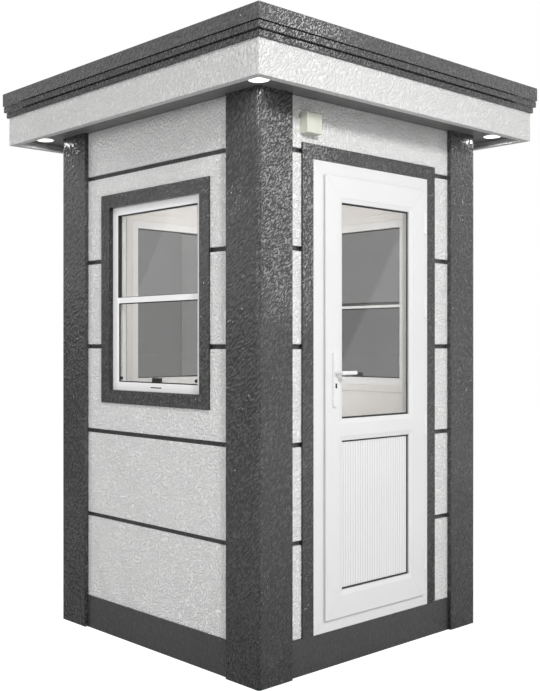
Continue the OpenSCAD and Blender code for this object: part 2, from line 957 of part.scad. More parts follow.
module soffit() {
    reach = fascia_out - fascia_t;
    color([0.8, 0.8, 0.8])
    difference() {
        block(plan_x(reach), plan_y(reach), [post_h, post_h + soffit_t]);
        at_downlights()
            translate([0, 0, -CUT])
            cylinder(h = soffit_t + 2 * CUT, d = downlight_body_dia + 2 * housing_clear);
    }
}

// White board with a return under its lower edge
module fascia() {
    color(PANEL_WHITE)
    roof_band(fascia_out, fascia_return_w, [fascia_z, fascia_top])
        polygon([[band_edge, fascia_z], [fascia_return_w, fascia_z],
            [fascia_return_w, fascia_z + fascia_return_t], [fascia_t, fascia_z + fascia_return_t],
            [fascia_t, fascia_top], [0, fascia_top], [0, fascia_z + band_edge]]);
}

module cornice_lower() {
    z = [fascia_top, fascia_top + cornice_lower_h];
    color(DARK)
    roof_band(cornice_lower_reach, band_w, z)
        band_section(band_w, z);
}

module cornice_upper() {
    width = cornice_upper_reach - core_reach;
    z = [cornice_upper_z, cornice_upper_z + cornice_upper_h];
    color(DARK)
    roof_band(cornice_upper_reach, width, z)
        band_section(width, z);
}

module roof_core() {
    color(CORE)
    difference() {
        block(plan_x(core_reach), plan_y(core_reach), [post_h + soffit_t, cap_z]);
        at_downlights()
            cylinder(h = downlight_h + CUT, d = downlight_body_dia + 2 * core_hole_clear);
    }
}

module roof_cap() {
    x = plan_x(cap_reach);
    y = plan_y(cap_reach);
    color(DARK)
    difference() {
        block(x, y, [cap_z, cap_z + cap_h]);
        outer_edge_cut(x, y, cap_z + cap_h, cap_edge_round);
    }
}

// Turned downlight: a rim that dishes in to its lens, and the housing above
module downlights() {
    rim_r = downlight_dia / 2;
    lens_r = downlight_lens_dia / 2;
    lens_z = downlight_recess - downlight_rim;
    color([0.97, 0.97, 0.95])
    at_downlights()
        rotate_extrude()
        polygon([[0, lens_z], [lens_r, lens_z], [lens_r + downlight_recess, -downlight_rim],
            [rim_r - downlight_edge, -downlight_rim], [rim_r, downlight_edge - downlight_rim], [rim_r, 0],
            [downlight_body_dia / 2, 0], [downlight_body_dia / 2, downlight_h], [0, downlight_h]]);
}

module wall_light() {
    u = [light_u, light_u + light_w];
    v = [light_z, light_z + light_h];
    face = light_d - clad_set_back;
    color([0.87, 0.88, 0.82])
    on_face("front")
    difference() {
        block(u, v, [-clad_set_back, face]);
        outer_edge_cut(u, v, face, light_edge_round);
    }
}

post(0, 0);  // post_front_left
post(1, 0);  // post_front_right
post(0, 1);  // post_back_left
post(1, 1);  // post_back_right
plinth();
floor_bearers();
floor_deck();
front_core([post_w, door_u[0]], [plinth_h, post_h]);  // front_wall_left
front_core([door_u[1], body_w - post_w], [plinth_h, post_h]);  // front_wall_right
front_core(door_u, [door_v[1], post_h]);  // front_wall_head
window_core("left");  // left_wall
window_core("back");  // back_wall
window_core("right");  // right_wall
cladding("front", door_trim_u, [0, door_trim_top]);  // front_cladding
window_cladding("left");  // left_cladding
window_cladding("back");  // back_cladding
window_cladding("right");  // right_cladding
wall_linings();
ceiling();
window_trim("left");  // left_window_trim
window_trim("back");  // back_window_trim
window_trim("right");  // right_window_trim
window_frame("left");  // left_window_frame
window_frame("back");  // back_window_frame
window_frame("right");  // right_window_frame
window_glass();
window_catches();
door_trim();
door_frame();
frame_hinges();
door_leaf();
door_beads();
door_glass();
door_panel();
leaf_hinges();
handle_plates();
door_lever();
soffit();
fascia();
cornice_lower();
cornice_upper();
roof_core();
roof_cap();
downlights();
wall_light();
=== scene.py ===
"""Looks of the modular cabin.

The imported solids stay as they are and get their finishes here. This file adds
the gaskets, track liners and drain meshes that are too fine for the solids, and
the studio with its lamps and camera. Everything is in metres, in the cabin's own
frame.
"""

import json
import logging
import math
from dataclasses import dataclass
from enum import Enum
from typing import Any, Sequence

import bmesh
import bpy
from mathutils import Euler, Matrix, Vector

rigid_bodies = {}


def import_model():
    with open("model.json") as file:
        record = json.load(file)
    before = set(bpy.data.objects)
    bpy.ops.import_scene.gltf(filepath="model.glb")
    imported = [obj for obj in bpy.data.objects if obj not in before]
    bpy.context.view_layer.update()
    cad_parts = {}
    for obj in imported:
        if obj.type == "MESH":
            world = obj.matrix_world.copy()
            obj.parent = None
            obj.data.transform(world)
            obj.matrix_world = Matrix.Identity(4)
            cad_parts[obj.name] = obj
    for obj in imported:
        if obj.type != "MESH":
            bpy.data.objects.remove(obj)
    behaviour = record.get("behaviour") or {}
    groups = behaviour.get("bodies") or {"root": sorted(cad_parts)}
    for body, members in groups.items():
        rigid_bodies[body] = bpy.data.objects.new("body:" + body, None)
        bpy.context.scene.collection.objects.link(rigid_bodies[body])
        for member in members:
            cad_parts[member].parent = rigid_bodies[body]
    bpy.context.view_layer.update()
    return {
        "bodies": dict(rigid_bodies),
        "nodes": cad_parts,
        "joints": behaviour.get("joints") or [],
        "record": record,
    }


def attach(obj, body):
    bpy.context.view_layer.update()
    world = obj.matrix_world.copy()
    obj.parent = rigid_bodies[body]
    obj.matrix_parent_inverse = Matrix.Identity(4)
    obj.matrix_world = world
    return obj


LOG = logging.getLogger("cabin")

MM = 0.001
BODY_W = 1500 * MM
BODY_D = 1400 * MM
PHOTO_W = 540
PHOTO_H = 691

Colour = tuple[float, float, float]
Point = tuple[float, float, float]
Nodes = dict[str, bpy.types.Object]

CREAM: Colour = (0.73, 0.71, 0.69)
CREAM_ROUGHNESS = 0.55
NOISE_LOW = 0.3
NOISE_HIGH = 0.7
PATCHES_PER_METRE = 3.5
# Noise, wander and reach of the darkening towards the foot, which is soiling and painted shade where the
# light falls off downwards.
SOIL_AND_SHADE_PER_METRE = 9
SOIL_AND_SHADE_WANDER = 0.35
SOIL_AND_SHADE_TOP = 1.1
HANDLING_PER_METRE = 14
HANDLING_SPREAD = 0.12
# Soft edge of the painted shade on a hole's sides, and the share of the colour left there.
HOLE_EDGE = 0.2 * MM
HOLE_SHADE = 0.02
SHARP_ANGLE = 0.5


class Face(Enum):
    """The cabin's four faces, each with its turn from the front in degrees."""

    FRONT = 0
    RIGHT = 90
    BACK = 180
    LEFT = -90


class Carrier(Enum):
    """The bodies that a piece can ride on."""

    CABIN = "cabin"
    LEAF = "leaf"
    LEVER = "lever"


class Across(Enum):
    """The horizontal axis that runs along a framed piece."""

    X = 0
    Y = 1


class Side(Enum):
    """A side of a rectangle in a wall's plane, as a step along u and v."""

    LEFT = (-1, 0)
    RIGHT = (1, 0)
    BOTTOM = (0, -1)


@dataclass(frozen=True)
class Span:
    """A stretch between two places along one direction, in metres."""

    low: float
    high: float

    @property
    def middle(self) -> float:
        """Its middle."""
        return (self.low + self.high) / 2

    @property
    def length(self) -> float:
        """Its length."""
        return self.high - self.low

    def grown(self, by: float) -> "Span":
        """The span made longer at both ends."""
        return Span(self.low - by, self.high + by)


def mm(low: float, high: float) -> Span:
    """A span that is given in millimetres."""
    return Span(low * MM, high * MM)


@dataclass(frozen=True)
class Wall:
    """Frame of one face: u runs to the right, v up and w outwards from the posts."""

    face: Face

    @property
    def width(self) -> float:
        """Width of the face over its posts."""
        return BODY_W if self.face in (Face.FRONT, Face.BACK) else BODY_D

    @property
    def reach(self) -> float:
        """Distance of the post face from the middle of the plan."""
        return (BODY_D if self.face in (Face.FRONT, Face.BACK) else BODY_W) / 2

    def point(self, u: float, v: float, w: float) -> Vector:
        """Place of a point of this frame in the cabin's frame."""
        flat = Vector((u - self.width / 2, -self.reach - w, v))
        flat.rotate(Euler((0, 0, math.radians(self.face.value))))
        return flat


class Graph:
    """Node tree of one material, with short calls for the nodes that finishes share."""

    def __init__(self, name: str) -> None:
        """Starts an empty material.

        Args:
            name: Name of the material.
        """
        self.material = bpy.data.materials.new(name)
        self.material.use_nodes = True
        self.tree = self.material.node_tree
        self.tree.nodes.clear()
        self.output = self.add("ShaderNodeOutputMaterial")
        coordinates = self.add("ShaderNodeTexCoord").outputs
        self.place = coordinates["Object"]
        self.normal = coordinates["Normal"]

    def add(self, kind: str, **settings: Any) -> bpy.types.Node:
        """Adds a node and sets its properties.

        Args:
            kind: Blender's name for the node's type.
            settings: Properties of the node by name.

        Returns:
            The new node.
        """
        node = self.tree.nodes.new(kind)
        for key, value in settings.items():
            setattr(node, key, value)
        return node

    def plug(self, node: bpy.types.Node, **inputs: Any) -> bpy.types.Node:
        """Sets or links a node's inputs by name, where _ stands for a space.

        Args:
            node: The node.
            inputs: A socket to link, or a constant, for each input.

        Returns:
            The same node.
        """
        for key, value in inputs.items():
            socket = node.inputs[key.replace("_", " ")]
            if isinstance(value, bpy.types.NodeSocket):
                self.tree.links.new(value, socket)
            else:
                socket.default_value = value
        return node

    def math(self, operation: str, *values: Any) -> bpy.types.NodeSocket:
        """Result of a Math node on up to three sockets or numbers."""
        node = self.add("ShaderNodeMath", operation=operation)
        for index, value in enumerate(values):
            if isinstance(value, bpy.types.NodeSocket):
                self.tree.links.new(value, node.inputs[index])
            else:
                node.inputs[index].default_value = value
        return node.outputs[0]

    def distance(self, value: Any, centre: float) -> bpy.types.NodeSocket:
        """How far a value is from a centre."""
        return self.math("ABSOLUTE", self.math("SUBTRACT", value, centre))

    def axes(self) -> Sequence[bpy.types.NodeSocket]:
        """The x, y and z of the object coordinates."""
        return self.plug(self.add("ShaderNodeSeparateXYZ"), Vector=self.place).outputs

    def slanted(self, slant: float, stretch: float) -> bpy.types.NodeSocket:
        """Coordinates that run round the walls and rise along a slant.

        Args:
            slant: Angle of the slant above level, in degrees.
            stretch: Factor on the distance along the slant.

        Returns:
            The vector's socket.
        """
        x, y, z = self.axes()
        along = self.math("SUBTRACT", x, y)
        across = self.math("MULTIPLY", self.math("ADD", x, y), 0.5)
        wrapped = self.plug(self.add("ShaderNodeCombineXYZ"), X=along, Y=z, Z=across)
        turned = self.add("ShaderNodeMapping")
        self.plug(turned, Vector=wrapped.outputs[0], Rotation=(0, 0, -math.radians(slant)))
        scaled = self.add("ShaderNodeMapping")
        self.plug(scaled, Vector=turned.outputs[0], Scale=(stretch, 1, 1))
        return scaled.outputs[0]

    def noise(
        self, per_metre: float, detail: float = 2.0, vector: Any = None
    ) -> bpy.types.NodeSocket:
        """Smooth noise from 0 to 1.

        Args:
            per_metre: Number of cells in a metre.
            detail: Number of finer layers.
            vector: Coordinates to use in place of the object's.

        Returns:
            The noise's socket.
        """
        node = self.add("ShaderNodeTexNoise")
        self.plug(node, Vector=vector or self.place, Scale=per_metre, Detail=detail)
        return node.outputs["Fac"]

    def ranged(
        self, value: Any, low: float, high: float, to_low: float, to_high: float
    ) -> bpy.types.NodeSocket:
        """A value mapped smoothly from one range to another."""
        node = self.add("ShaderNodeMapRange", interpolation_type="SMOOTHSTEP")
        self.plug(node, Value=value, From_Min=low, From_Max=high, To_Min=to_low, To_Max=to_high)
        return node.outputs["Result"]

    def uneven(self, per_metre: float, detail: float, low: float, high: float) -> bpy.types.NodeSocket:
        """A value that drifts between two bounds over the surface.

        Args:
            per_metre: Number of its clouds in a metre.
            detail: Number of finer layers.
            low: The lower bound.
            high: The upper bound.

        Returns:
            The value's socket.
        """
        return self.ranged(self.noise(per_metre, detail), NOISE_LOW, NOISE_HIGH, low, high)

    def tinted(self, colour: Colour, factor: Any) -> bpy.types.NodeSocket:
        """A colour multiplied by a grey factor."""
        node = self.add("ShaderNodeVectorMath", operation="SCALE")
        self.plug(node, Vector=colour, Scale=factor)
        return node.outputs["Vector"]

    def raised(self, height: Any, depth: float, under: Any = None) -> bpy.types.NodeSocket:
        """Normal of a relief.

        Args:
            height: Height from 0 to 1.
            depth: Real height of the relief in metres.
            under: Normal of a relief below this one.

        Returns:
            The normal's socket.
        """
        node = self.add("ShaderNodeBump")
        self.plug(node, Height=height, Distance=depth, Strength=1.0)
        if under is not None:
            self.plug(node, Normal=under)
        return node.outputs["Normal"]

    def surface(self, shader: bpy.types.Node) -> None:
        """Puts a shader on the material's output."""
        self.tree.links.new(shader.outputs[0], self.output.inputs["Surface"])


@dataclass(frozen=True)
class Finish:
    """A plain finish: a colour that is slightly uneven, with a fine grain.

    Attributes:
        name: Name of the material.
        colour: Linear base colour.
        gloss_roughness: Roughness of the shader.
        mottle: Share by which the colour varies over the surface.
        grain: Number of grains in a metre.
        grain_depth: Real depth of the grain in metres.
        foot_soil_and_shade: Share by which the foot of the piece is darker than its top, from soiling and
            from painted shade where the light falls off downwards.
        mirror: Strength of the mirror on top of the colour, where 0.5 is plain plastic.
        hole: Stretches along x and up of a hole whose sides are painted dark as shade.
    """

    name: str
    colour: Colour
    gloss_roughness: float = 0.5
    mottle: float = 0.04
    grain: float = 900.0
    grain_depth: float = 0.03 * MM
    foot_soil_and_shade: float = 0.0
    mirror: float = 0.5
    hole: tuple[Span, Span] | None = None

    def material(self) -> bpy.types.Material:
        """The finish's material, made the first time it is asked for."""
        made = bpy.data.materials.get(self.name)
        if made is None:
            graph = Graph(self.name)
            graph.surface(self.shader(graph))
            made = graph.material
        return made

    def wear_and_shade(self, graph: Graph) -> bpy.types.NodeSocket:
        """Factor on the colour: cloudy patches, a darkening towards the ground from soiling and painted
        shade, and painted shade in the hole.
        """
        patches = graph.uneven(PATCHES_PER_METRE, 5, 1 - self.mottle, 1 + self.mottle / 2)
        # Darker towards the ground: soiling, with painted shade where the light falls off downwards.
        wander = graph.math("MULTIPLY", graph.noise(SOIL_AND_SHADE_PER_METRE, 3), SOIL_AND_SHADE_WANDER)
        height = graph.math("ADD", graph.axes()[2], wander)
        foot = graph.ranged(height, 0.0, SOIL_AND_SHADE_TOP, 1 - self.foot_soil_and_shade, 1.0)
        worn_and_shaded = graph.math("MULTIPLY", patches, foot)
        return graph.math("MULTIPLY", worn_and_shaded, self.shaded_hole(graph)) if self.hole else worn_and_shaded

    def shaded_hole(self, graph: Graph) -> bpy.types.NodeSocket:
        """Factor on the colour that is low inside the hole, as painted shade."""
        axes = graph.axes()
        beyond = [
            graph.math("SUBTRACT", graph.distance(axes[axis], span.middle), span.length / 2)
            for axis, span in zip((0, 2), self.hole)
        ]
        return graph.ranged(graph.math("MAXIMUM", *beyond), -HOLE_EDGE, HOLE_EDGE, HOLE_SHADE, 1.0)

    def tone(self, graph: Graph) -> bpy.types.NodeSocket:
        """Factor on the colour at each point."""
        return self.wear_and_shade(graph)

    def base(self, graph: Graph) -> bpy.types.NodeSocket:
        """Base colour at each point."""
        return graph.tinted(self.colour, self.tone(graph))

    def relief(self, graph: Graph) -> bpy.types.NodeSocket:
        """Normal of the surface's grain."""
        return graph.raised(graph.noise(self.grain, 2), self.grain_depth)

    def roughness(self, graph: Graph) -> bpy.types.NodeSocket:
        """Roughness, a little uneven where hands and rain have been."""
        middle = self.gloss_roughness
        spread = HANDLING_SPREAD * middle
        return graph.uneven(HANDLING_PER_METRE, 4, middle - spread, middle + spread)

    def shader(self, graph: Graph) -> bpy.types.Node:
        """The finish's shader.

        Args:
            graph: The material's node tree.

        Returns:
            The shader's node.
        """
        shader = graph.add("ShaderNodeBsdfPrincipled")
        return graph.plug(
            shader,
            Base_Color=self.base(graph),
            Roughness=self.roughness(graph),
            Specular_IOR_Level=self.mirror,
            Normal=self.relief(graph),
        )


@dataclass(frozen=True)
class EmbossedSheet(Finish):
    """Painted sheet that is rolled with short slanting worm tracks.

    Attributes:
        tracks: Number of tracks in a metre, across them.
        track_depth: Real depth of a track in metres.
        track_shade: Share by which a track is darker than the sheet, as painted shade.
        slant: Angle of the tracks above level, in degrees.
        stretch: Width of a track as a share of its length.
        bank: Values of the noise at the foot and the top of a track's bank.
        track_detail: Number of finer layers in the noise.
    """

    tracks: float = 118.0
    track_depth: float = 5.4 * MM
    track_shade: float = 0.12
    slant: float = 45.0
    stretch: float = 0.28
    bank: tuple[float, float] = (0.38, 0.62)
    track_detail: float = 0.5

    def worms(self, graph: Graph) -> bpy.types.NodeSocket:
        """Height from 0 to 1, which is 1 along the middle of a track."""
        place = graph.slanted(self.slant, self.stretch)
        return graph.ranged(graph.noise(self.tracks, self.track_detail, place), *self.bank, 0.0, 1.0)

    def tone(self, graph: Graph) -> bpy.types.NodeSocket:
        """Wear, soiling and painted shade, with more painted shade on the tracks."""
        # Painted shade on the tracks, darkest along their middles.
        shade = graph.ranged(self.worms(graph), 0.0, 1.0, 1.0, 1 - self.track_shade)
        return graph.math("MULTIPLY", self.wear_and_shade(graph), shade)

    def relief(self, graph: Graph) -> bpy.types.NodeSocket:
        """Normal of the tracks over the paint's grain."""
        grain = graph.raised(graph.noise(self.grain, 2), self.grain_depth)
        return graph.raised(self.worms(graph), self.track_depth, grain)


@dataclass(frozen=True)
class BentSheet(EmbossedSheet):
    """Embossed sheet bent round the corner of a post, whose back is lined in the room.

    Attributes:
        bend: Radius of the bend.
        wall_depth: Depth of the wall with its lining, measured in from the post's face.
        lining: Linear base colour of the lining.
        lining_roughness: Roughness of the lining.
    """

    bend: float = 16 * MM
    wall_depth: float = 81 * MM
    lining: Colour = CREAM
    lining_roughness: float = CREAM_ROUGHNESS

    def inwards(self, graph: Graph) -> list[bpy.types.NodeSocket]:
        """How far in a point is from the side faces, and from the front and back faces."""
        return [
            graph.math("SUBTRACT", half, graph.math("ABSOLUTE", axis))
            for half, axis in zip((BODY_W / 2, BODY_D / 2), graph.axes())
        ]

    def outdoors(self, graph: Graph) -> bpy.types.NodeSocket:
        """1 on the sheet, and 0 on the faces that look into the room."""
        return graph.math("LESS_THAN", graph.math("MINIMUM", *self.inwards(graph)), self.wall_depth - MM)

    def worms(self, graph: Graph) -> bpy.types.NodeSocket:
        """The sheet's tracks, with none on the lining."""
        return graph.math("MULTIPLY", super().worms(graph), self.outdoors(graph))

    def base(self, graph: Graph) -> bpy.types.NodeSocket:
        """The sheet's colour, and the lining's in the room."""
        outdoors = self.outdoors(graph)
        sheet = graph.tinted(self.colour, graph.math("MULTIPLY", self.tone(graph), outdoors))
        lined = graph.tinted(self.lining, graph.math("SUBTRACT", 1.0, outdoors))
        total = graph.add("ShaderNodeVectorMath", operation="ADD")
        graph.tree.links.new(sheet, total.inputs[0])
        graph.tree.links.new(lined, total.inputs[1])
        return total.outputs["Vector"]

    def roughness(self, graph: Graph) -> bpy.types.NodeSocket:
        """The sheet's roughness, and the lining's in the room."""
        indoors = graph.math("SUBTRACT", 1.0, self.outdoors(graph))
        lined = graph.math("MULTIPLY", indoors, self.lining_roughness)
        return graph.math("MAXIMUM", super().roughness(graph), lined)

    def relief(self, graph: Graph) -> bpy.types.NodeSocket:
        """Normal of the tracks on a sheet that falls away at the post's corner."""
        inside = graph.math("SUBTRACT", self.bend, graph.math("MAXIMUM", *self.inwards(graph)))
        bent = graph.math("POWER", graph.math("MAXIMUM", inside, 0.0), 2.0)
        fall = graph.math("MULTIPLY", bent, -0.5 / self.bend)
        return graph.raised(fall, 1.0, super().relief(graph))


@dataclass(frozen=True)
class FoldedSheet(EmbossedSheet):
    """Embossed sheet folded round a trim, with painted shade on its folded edges, which face away from the
    light.

    Attributes:
        outward: Horizontal axis that the trim's face looks along.
        fold_shade: Share of the colour that is left on the folded edges, as painted shade.
        fold_turn: How squarely a face looks outwards where it is folded, and where it is flat.
    """

    outward: Across = Across.X
    fold_shade: float = 0.3
    fold_turn: tuple[float, float] = (0.3, 0.8)

    def tone(self, graph: Graph) -> bpy.types.NodeSocket:
        """Wear, soiling, tracks and painted shade, with more painted shade on the folded edges."""
        normal = graph.plug(graph.add("ShaderNodeSeparateXYZ"), Vector=graph.normal)
        facing = graph.math("ABSOLUTE", normal.outputs[self.outward.value])
        # Painted shade on the faces that don't look outwards.
        fold = graph.ranged(facing, *self.fold_turn, self.fold_shade, 1.0)
        return graph.math("MULTIPLY", super().tone(graph), fold)


@dataclass(frozen=True)
class WeldedProfile(Finish):
    """White plastic profile whose lengths are welded at mitred corners.

    Attributes:
        across: Horizontal axis along the frame.
        middle: Middle of the frame along that axis and up.
        half: Half the frame's outer width and height.
        weld_edge: Distances from a weld's middle between which it fades out.
        weld_tone: Share of the colour that is left along a weld.
        weld_depth: Real depth of a weld.
    """

    across: Across = Across.X
    middle: tuple[float, float] = (0.0, 0.0)
    half: tuple[float, float] = (1.0, 1.0)
    weld_edge: Span = mm(0.6, 1.6)
    weld_tone: float = 0.86
    weld_depth: float = 0.25 * MM

    def weld(self, graph: Graph) -> bpy.types.NodeSocket:
        """1 along the thin welds that run in from the four corners, and 0 elsewhere."""
        axes = graph.axes()
        sides = [
            graph.math("SUBTRACT", graph.distance(axes[axis], centre), reach)
            for axis, centre, reach in zip((self.across.value, 2), self.middle, self.half)
        ]
        apart = graph.distance(*sides)
        return graph.ranged(apart, self.weld_edge.low, self.weld_edge.high, 1.0, 0.0)

    def tone(self, graph: Graph) -> bpy.types.NodeSocket:
        """Wear, soiling and painted shade, with the welds a little grey."""
        welded = graph.ranged(self.weld(graph), 0.0, 1.0, 1.0, self.weld_tone)
        return graph.math("MULTIPLY", self.wear_and_shade(graph), welded)

    def relief(self, graph: Graph) -> bpy.types.NodeSocket:
        """Normal of the welds over the plastic's faint ripple."""
        ripple = graph.raised(graph.noise(self.grain, 2), self.grain_depth)
        return graph.raised(graph.math("SUBTRACT", 1.0, self.weld(graph)), self.weld_depth, ripple)


@dataclass(frozen=True)
class FlutedBoard(Finish):
    """White board with painted shade in its upright flutes.

    Attributes:
        middle: Place of the middle flute along x.
        pitch: Distance from one flute to the next.
        flute_w: Width of a flute.
        flute_shade: Share by which a flute is darker than the board, as painted shade.
        behind: Place along y behind which the board has no flutes.
        shade_edge: Distances from a flute's middle, as shares of its width, between which the painted shade
            fades out.
    """

    middle: float = -5.5 * MM
    pitch: float = 16.5 * MM
    flute_w: float = 6 * MM
    flute_shade: float = 0.22
    behind: float = -680 * MM
    shade_edge: tuple[float, float] = (0.15, 0.6)

    def tone(self, graph: Graph) -> bpy.types.NodeSocket:
        """Wear, soiling and painted shade, with more painted shade in the flutes."""
        x, y, _ = graph.axes()
        apart = graph.math("SUBTRACT", x, self.middle)
        off = graph.math("ABSOLUTE", graph.math("WRAP", apart, self.pitch / 2, -self.pitch / 2))
        fade = [share * self.flute_w for share in self.shade_edge]
        # Painted shade in the flutes, on the board's front only.
        flute_shading = graph.ranged(off, *fade, self.flute_shade, 0.0)
        flute_shading = graph.math("MULTIPLY", flute_shading, graph.math("LESS_THAN", y, self.behind))
        return graph.math("MULTIPLY", self.wear_and_shade(graph), graph.math("SUBTRACT", 1.0, flute_shading))


@dataclass(frozen=True)
class Glazing(Finish):
    """Lightly tinted float glass, with painted shade: the panes of the right and back windows, and the right
    window's lower panes, pass less light, as the view through them is dim.

    Attributes:
        clear: Share of light that passes a whole pane.
        right_shaded_clear: The same for the panes of the right window, lowered as painted shade.
        back_shaded_clear: The same for the inner and the outer pane of the back window, lowered as painted
            shade.
        lower_shade: Further factor on the panes below the meeting rail, as painted shade.
        inside_mirror: Factor on the mirror of the back and right windows, whose rooms are dim.
        rail_height: Height of that rail.
        head_on: Share of light that one surface reflects head on.
        back_tracks: Place along y between the back window's two panes.
        back_lap: Place along x beyond which the outer of those panes covers the inner one.
        wall_depth: Depth of a wall with its window, measured in from the posts.
        film: Share of light that passes the soiling on a pane where it is thickest.
        mirror_tint: Colour of what the panes mirror.
        ripple: Roughness of the mirror where it is greatest.
    """

    clear: float = 0.78
    right_shaded_clear: float = 0.29
    back_shaded_clear: tuple[float, float] = (0.29, 0.35)
    lower_shade: float = 0.7
    inside_mirror: float = 0.15
    rail_height: float = 1587 * MM
    head_on: float = 0.04
    back_tracks: float = 643 * MM
    back_lap: float = -19 * MM
    wall_depth: float = 100 * MM
    film: float = 0.985
    mirror_tint: Colour = (0.9, 0.92, 0.92)
    ripple: float = 0.003

    def walls(self, graph: Graph) -> list[bpy.types.NodeSocket]:
        """1 in the right window and 1 in the back window, and 0 elsewhere."""
        return [
            graph.math("GREATER_THAN", axis, half - self.wall_depth)
            for half, axis in zip((BODY_W / 2, BODY_D / 2), graph.axes())
        ]

    def passing(self, graph: Graph) -> bpy.types.NodeSocket:
        """Share of light that passes one surface of a pane, lowered by painted shade on the far and lower
        panes.
        """
        x, y, z = graph.axes()
        right, back = self.walls(graph)
        inner = graph.math("MULTIPLY", back, graph.math("LESS_THAN", y, self.back_tracks))
        lapped = graph.math("MULTIPLY", inner, graph.math("GREATER_THAN", x, self.back_lap))
        # The right and back panes and the right window's lower panes pass less light: painted shade of the
        # dim view through them.
        pane = self.chosen(graph, right, self.clear, self.right_shaded_clear)
        pane = self.chosen(graph, back, pane, self.back_shaded_clear[1])
        pane = self.chosen(graph, inner, pane, self.back_shaded_clear[0])
        pane = self.chosen(graph, lapped, pane, 1.0)
        parted = graph.math("MULTIPLY", right, graph.math("LESS_THAN", z, self.rail_height))
        pane = graph.math("MULTIPLY", pane, self.chosen(graph, parted, 1.0, self.lower_shade))
        return graph.math("SQRT", pane)

    def dimmed(self, graph: Graph) -> bpy.types.NodeSocket:
        """Factor on the mirror, which is fainter in the back and right windows."""
        return self.chosen(graph, graph.math("MAXIMUM", *self.walls(graph)), 1.0, self.inside_mirror)

    def chosen(self, graph: Graph, where: Any, elsewhere: Any, there: float) -> bpy.types.NodeSocket:
        """One value where a mask is 1, and another where it is 0."""
        return graph.math("MULTIPLY_ADD", where, graph.math("SUBTRACT", there, elsewhere), elsewhere)

    def shader(self, graph: Graph) -> bpy.types.Node:
        """Clear glass under its mirror.

        Args:
            graph: The material's node tree.

        Returns:
            The shader's node.
        """
        through = graph.add("ShaderNodeBsdfTransparent")
        film = graph.uneven(7, 4, self.film, 1.0)
        passed = graph.math("MULTIPLY", film, self.passing(graph))
        graph.plug(through, Color=graph.tinted(self.colour, passed))
        mirror = graph.add("ShaderNodeBsdfPrincipled")
        graph.plug(
            mirror,
            Base_Color=(*self.mirror_tint, 1.0),
            Metallic=1.0,
            Roughness=graph.uneven(11, 4, 0.0, self.ripple),
        )
        facing = graph.plug(graph.add("ShaderNodeLayerWeight"), Blend=0.5).outputs["Facing"]
        grazing = graph.math("MULTIPLY", graph.math("POWER", facing, 5.0), 1 - self.head_on)
        mix = graph.add("ShaderNodeMixShader")
        share = graph.math("MULTIPLY", graph.math("ADD", grazing, self.head_on), self.dimmed(graph))
        graph.tree.links.new(share, mix.inputs[0])
        graph.tree.links.new(through.outputs[0], mix.inputs[1])
        graph.tree.links.new(mirror.outputs[0], mix.inputs[2])
        return mix


@dataclass(frozen=True)
class LitLens(Finish):
    """White rim of a downlight round its lit opal lens.

    Attributes:
        at: Distances of the lenses from the middle of the plan, along x and y.
        lens_radius: Radius of the lit lens.
        soft_edge: Share of that radius at which the light starts to fade.
        glow: Strength of its light.
        light: Colour of its light.
    """

    at: tuple[float, float] = (812 * MM, 762 * MM)
    lens_radius: float = 42 * MM
    soft_edge: float = 0.94
    glow: float = 1.6
    light: Colour = (1.0, 0.99, 0.96)

    def shader(self, graph: Graph) -> bpy.types.Node:
        """The plain shader, with light from the lenses.

        Args:
            graph: The material's node tree.

        Returns:
            The shader's node.
        """
        shader = super().shader(graph)
        axes = graph.axes()
        offsets = [
            graph.math("SUBTRACT", graph.math("ABSOLUTE", axes[axis]), self.at[axis]) for axis in (0, 1)
        ]
        squares = [graph.math("POWER", offset, 2.0) for offset in offsets]
        distance = graph.math("SQRT", graph.math("ADD", *squares))
        fade = self.lens_radius * self.soft_edge
        glow = graph.ranged(distance, fade, self.lens_radius, self.glow, 0.0)
        return graph.plug(shader, Emission_Color=(*self.light, 1.0), Emission_Strength=glow)


WHITE_PLASTIC = {
    "gloss_roughness": 0.5,
    "mottle": 0.015,
    "grain": 500,
    "grain_depth": 0.02 * MM,
    "foot_soil_and_shade": 0.02,
    "mirror": 0.1,
}
DARK_PAINT = {
    "gloss_roughness": 0.12,
    "mottle": 0.06,
    "grain": 700,
    "grain_depth": 0.05 * MM,
    "foot_soil_and_shade": 0.78,
    "mirror": 0.45,
}
ANTHRACITE = (0.084, 0.085, 0.085)
# Keyhole of handle plate and leaf, whose sides are painted dark as shade.
KEYHOLE = (mm(-301.2, -290.8), mm(1191.3, 1212.7))
WHITE_PROFILE = Finish("white_plastic", (0.745, 0.745, 0.745), **WHITE_PLASTIC)
# The board is a little whiter than the profile, which its painted flute shade brings back down.
FLUTED_BOARD = FlutedBoard("fluted_board", (0.785, 0.785, 0.785), **WHITE_PLASTIC)
DARK_SHEET = EmbossedSheet("anthracite_sheet", ANTHRACITE, **DARK_PAINT, track_shade=0.3)
POST_SHEET = BentSheet("post_sheet", ANTHRACITE, **DARK_PAINT, track_depth=7.6 * MM, track_shade=0.34)
# The trims' anthracite is a little lighter than the posts' as painted light.
SIDE_TRIM, END_TRIM = (
    FoldedSheet(
        f"trim_sheet_{axis.name.lower()}",
        (0.09, 0.091, 0.091),
        **DARK_PAINT,
        track_shade=DARK_SHEET.track_shade,
        outward=axis,
    )
    for axis in (Across.X, Across.Y)
)
